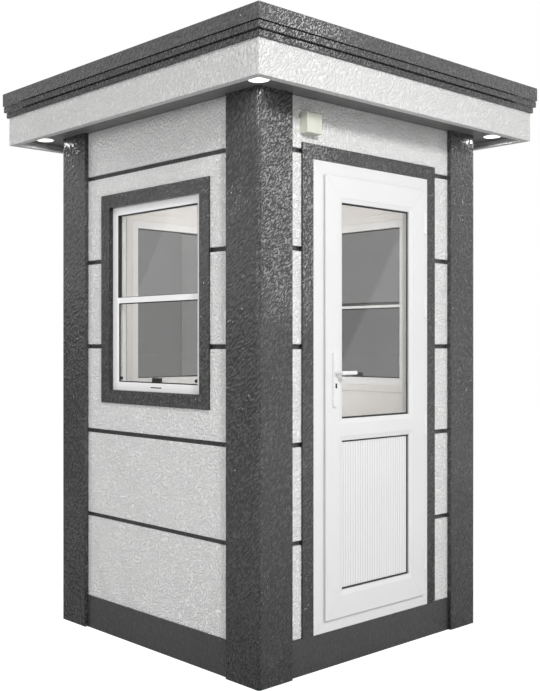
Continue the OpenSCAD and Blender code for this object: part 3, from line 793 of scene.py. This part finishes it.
# In the next finishes, roughness, mottle, grains in a metre and the grain's depth follow the colour.
PLINTH_SHEET = EmbossedSheet(
    "plinth_sheet", (0.05, 0.051, 0.051), 0.3, 0.08, 700, 0.05 * MM, foot_soil_and_shade=0.3, track_depth=1.2 * MM
)
WHITE_SHEET = EmbossedSheet(
    "white_sheet",
    (0.92, 0.92, 0.915),
    0.44,
    0.02,
    700,
    0.04 * MM,
    foot_soil_and_shade=0.03,
    tracks=165,
    track_depth=5.8 * MM,
    track_shade=0.09,
    stretch=0.34,
)
# The fascia's white sheet is darker than the walls' as painted shade.
SHADED_FASCIA_SHEET = EmbossedSheet(
    "shaded_fascia_sheet",
    (0.715, 0.715, 0.71),
    0.42,
    0.02,
    700,
    0.04 * MM,
    tracks=135,
    track_depth=4.0 * MM,
    track_shade=0.08,
)
# The soffit is painted dark grey as the shade under the roof's edge.
SHADED_SOFFIT_SHEET = EmbossedSheet(
    "shaded_soffit_sheet", (0.16, 0.16, 0.158), 0.5, 0.03, 700, 0.04 * MM, tracks=95, track_depth=0.5 * MM
)
GROOVE_SHEET = EmbossedSheet("groove_sheet", (0.06, 0.06, 0.06), 0.35, 0.1, 700, 0.05 * MM, foot_soil_and_shade=0.3)
STEEL = Finish("bearer_paint", (0.22, 0.22, 0.23), 0.45, 0.1, 600, 0.05 * MM)
FLOOR_SHEET = Finish("floor_vinyl", (0.3, 0.27, 0.24), 0.55, 0.12, 350, 0.05 * MM)
CREAM_BOARD = Finish("cream_board", CREAM, CREAM_ROUGHNESS, 0.02, 300, 0.05 * MM)
BLACK_RUBBER = Finish("black_rubber", (0.012, 0.012, 0.012), 0.55, 0.1, 900, 0.05 * MM)
BLACK_PLASTIC = Finish("black_moulding", (0.018, 0.018, 0.018), 0.38, 0.1, 1200, 0.04 * MM)
HINGE_PAINT = Finish("hinge_coat", (0.78, 0.78, 0.78), 0.3, 0.03, 1500, 0.02 * MM)
HANDLE_PAINT = Finish("handle_coat", (0.775, 0.775, 0.77), 0.25, 0.02, 1500, 0.015 * MM, hole=KEYHOLE)
IVORY_PLASTIC = Finish("ivory_moulding", (0.6, 0.61, 0.525), 0.4, 0.04, 1200, 0.03 * MM)
LENS = LitLens("downlight_opal", (0.88, 0.88, 0.86), 0.35, 0.02, 1200, 0.02 * MM)
GLASS = Glazing("tinted_glass", (1.0, 1.0, 0.997), 0.02)


def dress(nodes: Nodes, names: Sequence[str], finish: Finish) -> None:
    """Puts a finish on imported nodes.

    Args:
        nodes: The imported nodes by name.
        names: The nodes to dress.
        finish: Their finish.
    """
    for name in names:
        for slot in nodes[name].material_slots:
            slot.link = "OBJECT"
            slot.material = finish.material()
        LOG.info("%s dressed in %s", name, finish.name)


@dataclass(frozen=True)
class Strip:
    """A flat strip of one thickness whose outline lies in a wall's plane.

    Attributes:
        wall: The wall that it belongs to.
        depth: Its back and its front along the wall's w.
        edge: Radius of its edges.
    """

    wall: Wall
    depth: Span
    edge: float = 0.4 * MM

    def add_ring(
        self, mesh: bmesh.types.BMesh, u: Span, v: Span, width: float, gap: Side | None = None
    ) -> None:
        """Adds a ring inside a rectangle's edge.

        Args:
            mesh: The mesh that takes the ring.
            u: The rectangle's stretch along the wall.
            v: Its stretch up.
            width: Width of the ring.
            gap: The side on which the ring is left open, if any.
        """
        face = self.add_face(mesh, [(u.low, v.low), (u.high, v.low), (u.high, v.high), (u.low, v.high)])
        rim = bmesh.ops.inset_individual(mesh, faces=[face], thickness=width, use_even_offset=True)["faces"]
        left_out = [face]
        if gap is not None:
            towards = self.wall.point(*gap.value, 0) - self.wall.point(0, 0, 0)
            left_out.append(max(rim, key=lambda part: part.calc_center_median().dot(towards)))
        kept = [part for part in rim if part not in left_out]
        bmesh.ops.delete(mesh, geom=left_out, context="FACES")
        self.thicken(mesh, kept)

    def add_outline(self, mesh: bmesh.types.BMesh, outline: Sequence[tuple[float, float]]) -> None:
        """Adds a strip with any outline."""
        self.thicken(mesh, [self.add_face(mesh, outline)])

    def add_face(
        self, mesh: bmesh.types.BMesh, outline: Sequence[tuple[float, float]]
    ) -> bmesh.types.BMFace:
        """Adds the strip's front face.

        Args:
            mesh: The mesh that takes it.
            outline: Its corners along u and v, seen from outside in the order of a screw's undoing.

        Returns:
            The new face.
        """
        corners = [mesh.verts.new(self.wall.point(u, v, self.depth.high)) for u, v in outline]
        face = mesh.faces.new(corners)
        face.normal_update()
        return face

    def thicken(self, mesh: bmesh.types.BMesh, faces: Sequence[bmesh.types.BMFace]) -> None:
        """Gives faces the strip's thickness and rounds its edges."""
        mesh.normal_update()
        solid = bmesh.ops.solidify(mesh, geom=list(faces), thickness=self.depth.length)["geom"]
        parts = [part for part in solid if isinstance(part, bmesh.types.BMFace)] + list(faces)
        bmesh.ops.recalc_face_normals(mesh, faces=parts)
        mesh.normal_update()
        edges = {edge for part in parts for edge in part.edges}
        sharp = [edge for edge in edges if edge.is_manifold and edge.calc_face_angle() > SHARP_ANGLE]
        bmesh.ops.bevel(
            mesh, geom=sharp, offset=self.edge, segments=2, profile=0.5, affect="EDGES", material=-1
        )


def scene_object(name: str, mesh: bmesh.types.BMesh, material: bpy.types.Material) -> bpy.types.Object:
    """Turns a mesh, which is used up, into an object of the scene.

    Args:
        name: Name of the object.
        mesh: Its mesh.
        material: Its material.

    Returns:
        The new object.
    """
    data = bpy.data.meshes.new(name)
    mesh.to_mesh(data)
    mesh.free()
    data.materials.append(material)
    made = bpy.data.objects.new(name, data)
    bpy.context.scene.collection.objects.link(made)
    return made


def finished_piece(name: str, mesh: bmesh.types.BMesh, carrier: Carrier, finish: Finish) -> None:
    """Turns a mesh into a piece of the cabin.

    Args:
        name: Name of the piece.
        mesh: Its mesh, which is used up.
        carrier: The body that it rides on.
        finish: Its finish.
    """
    piece = scene_object(name, mesh, finish.material())
    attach(piece, carrier.value)
    LOG.info("%s made, %d faces", name, len(piece.data.polygons))


@dataclass
class Shell:
    """Posts, walls, trims and base."""

    nodes: Nodes

    def dress(self) -> None:
        """Puts the sheets and boards on their nodes."""
        posts = [f"post_{side}" for side in ("front_left", "front_right", "back_left", "back_right")]
        dress(self.nodes, posts, POST_SHEET)
        dress(self.nodes, ["plinth"], PLINTH_SHEET)
        dress(self.nodes, ["left_window_trim", "right_window_trim"], SIDE_TRIM)
        dress(self.nodes, ["back_window_trim", "door_trim"], END_TRIM)
        dress(self.nodes, [f"{face}_cladding" for face in ("front", "left", "back", "right")], WHITE_SHEET)
        parts = [f"front_wall_{part}" for part in ("left", "right", "head")]
        dress(self.nodes, parts + ["left_wall", "back_wall", "right_wall"], GROOVE_SHEET)
        dress(self.nodes, ["wall_linings", "ceiling"], CREAM_BOARD)
        dress(self.nodes, ["floor_deck"], FLOOR_SHEET)
        dress(self.nodes, ["floor_bearers"], STEEL)


@dataclass
class Roof:
    """Roof edge, soffit, downlights and the light box by the door."""

    nodes: Nodes

    def dress(self) -> None:
        """Puts the roof's sheets and lamps on their nodes."""
        dress(self.nodes, ["cornice_lower", "cornice_upper", "roof_cap"], DARK_SHEET)
        dress(self.nodes, ["fascia"], SHADED_FASCIA_SHEET)
        dress(self.nodes, ["soffit"], SHADED_SOFFIT_SHEET)
        dress(self.nodes, ["roof_core"], GROOVE_SHEET)
        dress(self.nodes, ["downlights"], LENS)
        dress(self.nodes, ["wall_light"], IVORY_PLASTIC)


@dataclass
class Window:
    """One window: its frame's finish, the gaskets of its panes and its track liner.

    Attributes:
        nodes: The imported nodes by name.
        face: The wall that it is in.
        opening: The opening along the wall.
        side_by_side: True where the panes stand beside each other.
        white: Tone of the frame's plastic, from 0 to 1.
        height: The opening's stretch up.
        frame_face: Width of the frame's face.
        rail: The meeting rail's stretch up.
        outer_pane: Depth of the outer pane.
        inner_pane: Depth of the inner pane.
        overlap: Width on which two panes side by side cover each other.
        gasket_w: Width of the gasket of the outer and of the inner pane.
        gasket_t: Thickness of the same gaskets.
        drain_w: Width of the drain slot.
        drain_h: Height of the slot.
        drain_rise: Height of the slot's middle above the foot of the opening.
        drain_depth: Depth of the mesh in the slot.
        drain_edge: Radius of the mesh's edges.
        liner_t: Thickness of the track liner.
        liner_depth: Depth of the track that it lines.
        sunk: How far a piece is let into the one that holds it.
    """

    nodes: Nodes
    face: Face
    opening: Span
    side_by_side: bool = False
    white: float = 0.77
    height: Span = mm(1164, 2027)
    frame_face: float = 38 * MM
    rail: Span = mm(1574, 1600)
    outer_pane: Span = mm(-56, -50)
    inner_pane: Span = mm(-64, -58)
    overlap: float = 24 * MM
    gasket_w: tuple[float, float] = (5.5 * MM, 3.5 * MM)
    gasket_t: tuple[float, float] = (5 * MM, 1.6 * MM)
    drain_w: float = 80 * MM
    drain_h: float = 5 * MM
    drain_rise: float = 18 * MM
    drain_depth: Span = mm(-44.2, -40.5)
    drain_edge: float = 0.2 * MM
    liner_t: float = 1.2 * MM
    liner_depth: Span = mm(-57.8, -39)
    sunk: float = 0.3 * MM

    @property
    def name(self) -> str:
        """The window's name."""
        return f"{self.face.name.lower()}_window"

    @property
    def clear(self) -> Span:
        """The frame's clear width."""
        return self.opening.grown(-self.frame_face)

    @property
    def clear_height(self) -> Span:
        """The frame's clear height."""
        return self.height.grown(-self.frame_face)

    def panes(self) -> list[tuple[Span, Span, Span, Side | None]]:
        """What is seen of each pane, the outer one first.

        Returns:
            Its stretch along the wall, its stretch up, its depth and the side where the other pane laps it.
        """
        clear = self.clear
        upright = self.clear_height
        if self.side_by_side:
            lap = clear.middle + self.overlap / 2
            return [
                (Span(clear.low, lap), upright, self.outer_pane, Side.RIGHT),
                (Span(lap, clear.high), upright, self.inner_pane, Side.LEFT),
            ]
        return [
            (clear, Span(upright.low, self.rail.low), self.outer_pane, None),
            (clear, Span(self.rail.high, upright.high), self.inner_pane, None),
        ]

    def dress(self) -> None:
        """Puts welded profile on the frame."""
        across = Across.X if self.side_by_side else Across.Y
        finish = WeldedProfile(
            f"{self.name}_profile",
            (self.white,) * 3,
            WHITE_PROFILE.gloss_roughness,
            WHITE_PROFILE.mottle,
            mirror=WHITE_PROFILE.mirror,
            across=across,
            middle=(0.0, self.height.middle),
            half=(self.opening.length / 2, self.height.length / 2),
        )
        dress(self.nodes, [f"{self.name}_frame"], finish)

    def build_gaskets(self) -> None:
        """Lays a black gasket on each pane's weather side."""
        mesh = bmesh.new()
        for (u, v, pane, gap), width, thickness in zip(self.panes(), self.gasket_w, self.gasket_t):
            depth = Span(pane.high - self.sunk, pane.high + thickness)
            ring = Strip(Wall(self.face), depth)
            ring.add_ring(mesh, u.grown(self.sunk), v.grown(self.sunk), width, gap)
        finished_piece(f"{self.name}_gaskets", mesh, Carrier.CABIN, BLACK_RUBBER)

    def build_track_liner(self) -> None:
        """Lines the open outer track beside and over the upper pane."""
        mesh = bmesh.new()
        upright = Span(self.rail.high - self.liner_t, self.clear_height.high + self.sunk)
        liner = Strip(Wall(self.face), self.liner_depth)
        liner.add_ring(mesh, self.clear.grown(self.sunk), upright, self.liner_t + self.sunk, Side.BOTTOM)
        finished_piece(f"{self.name}_track_liner", mesh, Carrier.CABIN, BLACK_RUBBER)

    def build_drain_mesh(self) -> None:
        """Lays a dark mesh in the floor of the drain slot."""
        mesh = bmesh.new()
        middle = self.height.low + self.drain_rise
        reach = self.drain_w / 2 - self.sunk
        half = self.drain_h / 2 - self.sunk
        steps = [(-reach, -half), (reach, -half), (reach, half), (-reach, half)]
        outline = [(self.opening.middle + u, middle + v) for u, v in steps]
        Strip(Wall(self.face), self.drain_depth, self.drain_edge).add_outline(mesh, outline)
        finished_piece(f"{self.name}_drain_mesh", mesh, Carrier.CABIN, BLACK_PLASTIC)

    def build(self) -> None:
        """Builds the window's pieces."""
        self.build_gaskets()
        self.build_drain_mesh()
        if not self.side_by_side:
            self.build_track_liner()


@dataclass
class Door:
    """Door frame, leaf, glazing, hinges and handle.

    Attributes:
        nodes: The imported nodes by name.
        frame_u: The frame's stretch along the wall.
        frame_v: The frame's stretch up.
        leaf_u: The leaf's stretch along the wall.
        leaf_v: The leaf's stretch up.
        pane_u: Stretch of the pane and of the panel along the wall.
        pane_v: The pane's stretch up.
        panel_v: The panel's stretch up.
        pane_face: Depth of the outer face of pane and panel.
        panel_t: Thickness of the panel.
        gasket_w: Width of a gasket.
        gasket_t: Thickness of a gasket.
        sunk: How far a gasket is let into the piece that holds it.
    """

    nodes: Nodes
    frame_u: Span = mm(336, 1132)
    frame_v: Span = mm(153, 2158)
    leaf_u: Span = mm(400, 1089)
    leaf_v: Span = mm(204, 2101)
    pane_u: Span = mm(508, 981)
    pane_v: Span = mm(1058, 1991)
    panel_v: Span = mm(320, 964)
    pane_face: float = -16.5 * MM
    panel_t: float = 24 * MM
    gasket_w: float = 8 * MM
    gasket_t: float = 2.5 * MM
    sunk: float = 0.3 * MM

    def welded(
        self, name: str, u: Span, v: Span, hole: tuple[Span, Span] | None = None
    ) -> WeldedProfile:
        """Welded profile for a rectangle of the front wall.

        Args:
            name: Name of the material.
            u: The rectangle's stretch along the wall.
            v: Its stretch up.
            hole: Stretches of a hole with dark sides.

        Returns:
            The finish.
        """
        return WeldedProfile(
            name,
            WHITE_PROFILE.colour,
            WHITE_PROFILE.gloss_roughness,
            WHITE_PROFILE.mottle,
            foot_soil_and_shade=WHITE_PROFILE.foot_soil_and_shade,
            mirror=WHITE_PROFILE.mirror,
            hole=hole,
            across=Across.X,
            middle=(u.middle - BODY_W / 2, v.middle),
            half=(u.length / 2, v.length / 2),
        )

    def dress(self) -> None:
        """Puts the door's finishes on its nodes."""
        frame = self.welded("door_frame_profile", self.frame_u, self.frame_v)
        leaf = self.welded("door_leaf_profile", self.leaf_u, self.leaf_v, KEYHOLE)
        dress(self.nodes, ["door_frame"], frame)
        dress(self.nodes, ["door_leaf"], leaf)
        dress(self.nodes, ["door_beads"], WHITE_PROFILE)
        dress(self.nodes, ["door_panel"], FLUTED_BOARD)
        dress(self.nodes, ["frame_hinges", "leaf_hinges"], HINGE_PAINT)
        dress(self.nodes, ["handle_plates", "door_lever"], HANDLE_PAINT)

    def build_gaskets(self) -> None:
        """Lays black gaskets between the beads and the pane and panel."""
        mesh = bmesh.new()
        wall = Wall(Face.FRONT)
        outside = Span(self.pane_face - self.sunk, self.pane_face + self.gasket_t)
        panel_back = self.pane_face - self.panel_t
        inside = Span(panel_back - self.gasket_t, panel_back + self.sunk)
        u = self.pane_u.grown(self.sunk)
        for v, depth in ((self.pane_v, outside), (self.panel_v, outside), (self.panel_v, inside)):
            Strip(wall, depth).add_ring(mesh, u, v.grown(self.sunk), self.gasket_w)
        finished_piece("door_gaskets", mesh, Carrier.LEAF, BLACK_RUBBER)

    def build(self) -> None:
        """Builds the door's pieces."""
        self.build_gaskets()


@dataclass
class Windows:
    """The three windows with their shared panes and catches."""

    nodes: Nodes

    def all(self) -> list[Window]:
        """The windows of the left, right and back walls."""
        return [
            # The left window's plastic is lighter than the others' as painted light, against the shade of
            # its deep trim.
            Window(self.nodes, Face.LEFT, mm(376.5, 1023.5), white=0.95),
            Window(self.nodes, Face.RIGHT, mm(352, 1048)),
            Window(self.nodes, Face.BACK, mm(376.5, 1123.5), side_by_side=True),
        ]

    def dress(self) -> None:
        """Puts the finishes on frames, panes and catches."""
        for window in self.all():
            window.dress()
        dress(self.nodes, ["window_glass", "door_glass"], GLASS)
        dress(self.nodes, ["window_catches"], BLACK_PLASTIC)

    def build(self) -> None:
        """Builds every window's pieces."""
        for window in self.all():
            window.build()


@dataclass(frozen=True)
class Lamp:
    """A softbox, or a bare globe where it has no aim.

    Attributes:
        name: Its name.
        at: Where it hangs.
        size: Its width and height, or its radius twice for a globe.
        power: Its power in watts.
        aim: Where a softbox points.
        mirrored: False where glossy faces don't show it.
    """

    name: str
    at: Point
    size: tuple[float, float]
    power: float
    aim: Point | None = None
    mirrored: bool = True

    def hang(self) -> None:
        """Adds the lamp to the scene."""
        data = bpy.data.lights.new(self.name, "POINT" if self.aim is None else "AREA")
        data.energy = self.power
        lamp = bpy.data.objects.new(self.name, data)
        lamp.location = self.at
        if self.aim is None:
            data.shadow_soft_size = self.size[0]
            lamp.visible_camera = False
        else:
            data.shape = "RECTANGLE"
            data.size, data.size_y = self.size
            lamp.rotation_euler = (Vector(self.aim) - Vector(self.at)).to_track_quat("-Z", "Y").to_euler()
        lamp.visible_glossy = self.mirrored
        bpy.context.scene.collection.objects.link(lamp)
        LOG.info("%s hung", self.name)


@dataclass
class Studio:
    """Floor, backdrop, lamps and camera.

    Attributes:
        camera_at: Where the photograph was taken from.
        heading: Angle of the level view from +X towards +Y, in degrees.
        focal: Focal length in pixels of the photograph.
        centre: Pixel straight ahead of the camera.
        floor_size: Side of the floor.
        floor_tone: Colour of the floor, from 0 to 1.
        floor_mirrored: Brightness that the floor adds in mirrors.
        floor_drop: Distance of the floor below the bearers.
        backdrop: Brightness of the background, where 1 is white.
        fill: Brightness of the light from all round.
        room_lamps: Height and power in watts of each lamp in the room.
        room_lamp_size: Radius of such a lamp, twice.
        downlight_power: Power of each downlight in watts.
        downlight_height: Height of the downlights' lamps.
        downlight_size: Width and length of such a lamp.
        sensor_width: Width of the camera's sensor in millimetres.
        view_reach: Distance at which the camera's view ends.
        lamps: The softboxes.
        cards: Brightness and outline of each card that the panes mirror.
    """

    camera_at: Point = (-3.555, -3.524, 1.379)
    heading: float = 49.086
    focal: float = 999.25
    centre: tuple[float, float] = (191.0, 344.4)
    floor_size: float = 240.0
    floor_tone: float = 0.7
    floor_mirrored: float = 0.1
    backdrop: float = 1.0
    fill: float = 0.42
    floor_drop: float = 1 * MM
    room_lamps: tuple[tuple[float, float], ...] = ((0.5, 1.5), (1.25, 7.0), (2.0, 9.5))
    room_lamp_size: tuple[float, float] = (0.12, 0.12)
    downlight_power: float = 0.6
    downlight_height: float = 2.4
    downlight_size: tuple[float, float] = (0.06, 0.06)
    sensor_width: float = 36.0
    view_reach: float = 200.0
    lamps: tuple[Lamp, ...] = (
        Lamp("key_lamp", (-2.3, -4.6, 3.7), (0.7, 0.7), 158, aim=(-0.1, -0.7, 1.4)),
        Lamp("edge_lamp", (0.2, -5.2, 2.4), (0.3, 2.0), 21, aim=(-0.7, -0.7, 1.8)),
        Lamp("side_lamp", (-5.2, 0.2, 2.3), (1.0, 1.0), 40, aim=(-0.7, 0.0, 1.5)),
        Lamp("back_lamp", (-3.1, 3.4, 2.6), (0.9, 0.9), 28, aim=(-0.7, 0.1, 1.4), mirrored=False),
        Lamp("glint_lamp", (3.8, -4.9, 2.85), (0.85, 2.4), 34, aim=(-0.5, -0.7, 1.9)),
        Lamp("cap_lamp", (3.6, -4.9, 4.5), (0.7, 0.5), 11, aim=(-0.7, -0.9, 2.6)),
    )
    cards: tuple[tuple[float, tuple[Point, ...]], ...] = (
        (0.6, ((-5.4, 5.0, 3.83), (-3.78, 5.0, 0.59), (-0.3, 5.0, 0.59), (-1.9, 5.0, 3.83))),
        (0.05, ((-8.0, 4.9, 1.87), (-8.0, 4.9, -0.5), (-0.3, 4.9, -0.5), (-0.3, 4.9, 1.87))),
        (1.0, ((5.05, -2.0, 1.42), (5.05, -9.0, 1.42), (5.05, -9.0, -0.5), (5.05, -2.0, -0.5))),
        (0.45, ((5.0, -4.05, 3.03), (5.0, -5.38, 0.76), (5.0, -8.4, 0.76), (5.0, -7.05, 3.03))),
    )

    def all_lamps(self) -> list[Lamp]:
        """The softboxes, the globes in the room and the light of the downlights."""
        globes = [
            Lamp(f"room_lamp_{number}", (0.0, 0.0, z), self.room_lamp_size, power, mirrored=False)
            for number, (z, power) in enumerate(self.room_lamps)
        ]
        x, y = LENS.at
        places = [(side_x * x, side_y * y) for side_x in (-1, 1) for side_y in (-1, 1)]
        spots = [
            Lamp(
                f"downlight_{number}",
                (*place, self.downlight_height),
                self.downlight_size,
                self.downlight_power,
                aim=(*place, 0.0),
            )
            for number, place in enumerate(places)
        ]
        return [*self.lamps, *globes, *spots]

    def floor_strength(self, graph: Graph) -> bpy.types.NodeSocket:
        """Light of the floor itself, full for rays seen by the camera and faint in mirrors."""
        path = graph.add("ShaderNodeLightPath").outputs
        seen = graph.math("MAXIMUM", path["Is Camera Ray"], path["Is Transmission Ray"])
        full = self.backdrop - self.floor_tone * self.fill
        mirrored = graph.math("MULTIPLY", path["Is Glossy Ray"], self.floor_mirrored)
        return graph.math("MAXIMUM", graph.math("MULTIPLY", seen, full), mirrored)

    def build_world(self) -> None:
        """Lights the scene from all round, with a white background."""
        world = bpy.data.worlds.new("studio")
        world.use_nodes = True
        tree = world.node_tree
        tree.nodes.clear()
        path = tree.nodes.new("ShaderNodeLightPath").outputs
        seen = path["Is Camera Ray"]
        for ray in ("Is Glossy Ray", "Is Transmission Ray"):
            either = tree.nodes.new("ShaderNodeMath")
            either.operation = "MAXIMUM"
            tree.links.new(seen, either.inputs[0])
            tree.links.new(path[ray], either.inputs[1])
            seen = either.outputs[0]
        level = tree.nodes.new("ShaderNodeMapRange")
        tree.links.new(seen, level.inputs["Value"])
        level.inputs["To Min"].default_value = self.fill
        level.inputs["To Max"].default_value = self.backdrop
        background = tree.nodes.new("ShaderNodeBackground")
        tree.links.new(level.outputs["Result"], background.inputs["Strength"])
        background.inputs["Color"].default_value = (1, 1, 1, 1)
        output = tree.nodes.new("ShaderNodeOutputWorld")
        tree.links.new(background.outputs[0], output.inputs["Surface"])
        bpy.context.scene.world = world

    def build_floor(self) -> None:
        """Lays a pale floor that keeps the cabin's shadow."""
        graph = Graph("studio_floor")
        diffuse = graph.plug(graph.add("ShaderNodeBsdfDiffuse"), Color=(*[self.floor_tone] * 3, 1))
        glow = graph.plug(graph.add("ShaderNodeEmission"), Color=(1, 1, 1, 1))
        graph.plug(glow, Strength=self.floor_strength(graph))
        both = graph.add("ShaderNodeAddShader")
        graph.tree.links.new(diffuse.outputs[0], both.inputs[0])
        graph.tree.links.new(glow.outputs[0], both.inputs[1])
        graph.surface(both)
        mesh = bmesh.new()
        bmesh.ops.create_grid(mesh, x_segments=2, y_segments=2, size=self.floor_size / 2)
        bmesh.ops.translate(mesh, verts=mesh.verts, vec=(0, 0, -self.floor_drop))
        floor = scene_object("studio_floor", mesh, graph.material)

    def hang_card(self, name: str, tone: float, outline: Sequence[Point]) -> None:
        """Hangs a grey card that only mirrors see, so that a pane shows its edge.

        Args:
            name: Name of the card.
            tone: Its brightness.
            outline: Its corners.
        """
        graph = Graph(name)
        graph.surface(graph.plug(graph.add("ShaderNodeEmission"), Color=(1, 1, 1, 1), Strength=tone))
        mesh = bmesh.new()
        mesh.faces.new([mesh.verts.new(corner) for corner in outline])
        card = scene_object(name, mesh, graph.material)
        card.visible_camera = False
        card.visible_diffuse = False
        card.visible_shadow = False
        card.visible_transmission = False

    def place_camera(self) -> None:
        """Puts the camera where the photograph was taken."""
        data = bpy.data.cameras.new("photo_camera")
        data.sensor_width = self.sensor_width
        data.lens = self.focal * data.sensor_width / PHOTO_H
        data.shift_x = (PHOTO_W / 2 - self.centre[0]) / PHOTO_H
        data.shift_y = (self.centre[1] - PHOTO_H / 2) / PHOTO_H
        data.clip_end = self.view_reach
        camera = bpy.data.objects.new("photo_camera", data)
        camera.location = self.camera_at
        camera.rotation_euler = (math.pi / 2, 0.0, math.radians(self.heading - 90.0))
        bpy.context.scene.collection.objects.link(camera)
        bpy.context.scene.camera = camera

    def build(self) -> None:
        """Sets up the whole studio."""
        bpy.context.scene.view_settings.view_transform = "Standard"
        self.build_world()
        self.build_floor()
        for number, (tone, outline) in enumerate(self.cards):
            self.hang_card(f"mirrored_card_{number}", tone, outline)
        self.place_camera()
        for lamp in self.all_lamps():
            lamp.hang()


def corners(box: tuple[Vector, Vector]) -> list[list[float]]:
    """The two corners of a box as plain lists."""
    return [list(corner) for corner in box]


def main() -> None:
    """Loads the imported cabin, dresses it and lights it."""
    logging.basicConfig(level=logging.INFO, format="%(name)s: %(message)s")
    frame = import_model()
    studio = Studio()
    studio.build()
    for assembly in (Shell(frame["nodes"]), Roof(frame["nodes"])):
        assembly.dress()
    for assembly in (Windows(frame["nodes"]), Door(frame["nodes"])):
        assembly.dress()
        assembly.build()


if __name__ == "__main__":
    main()
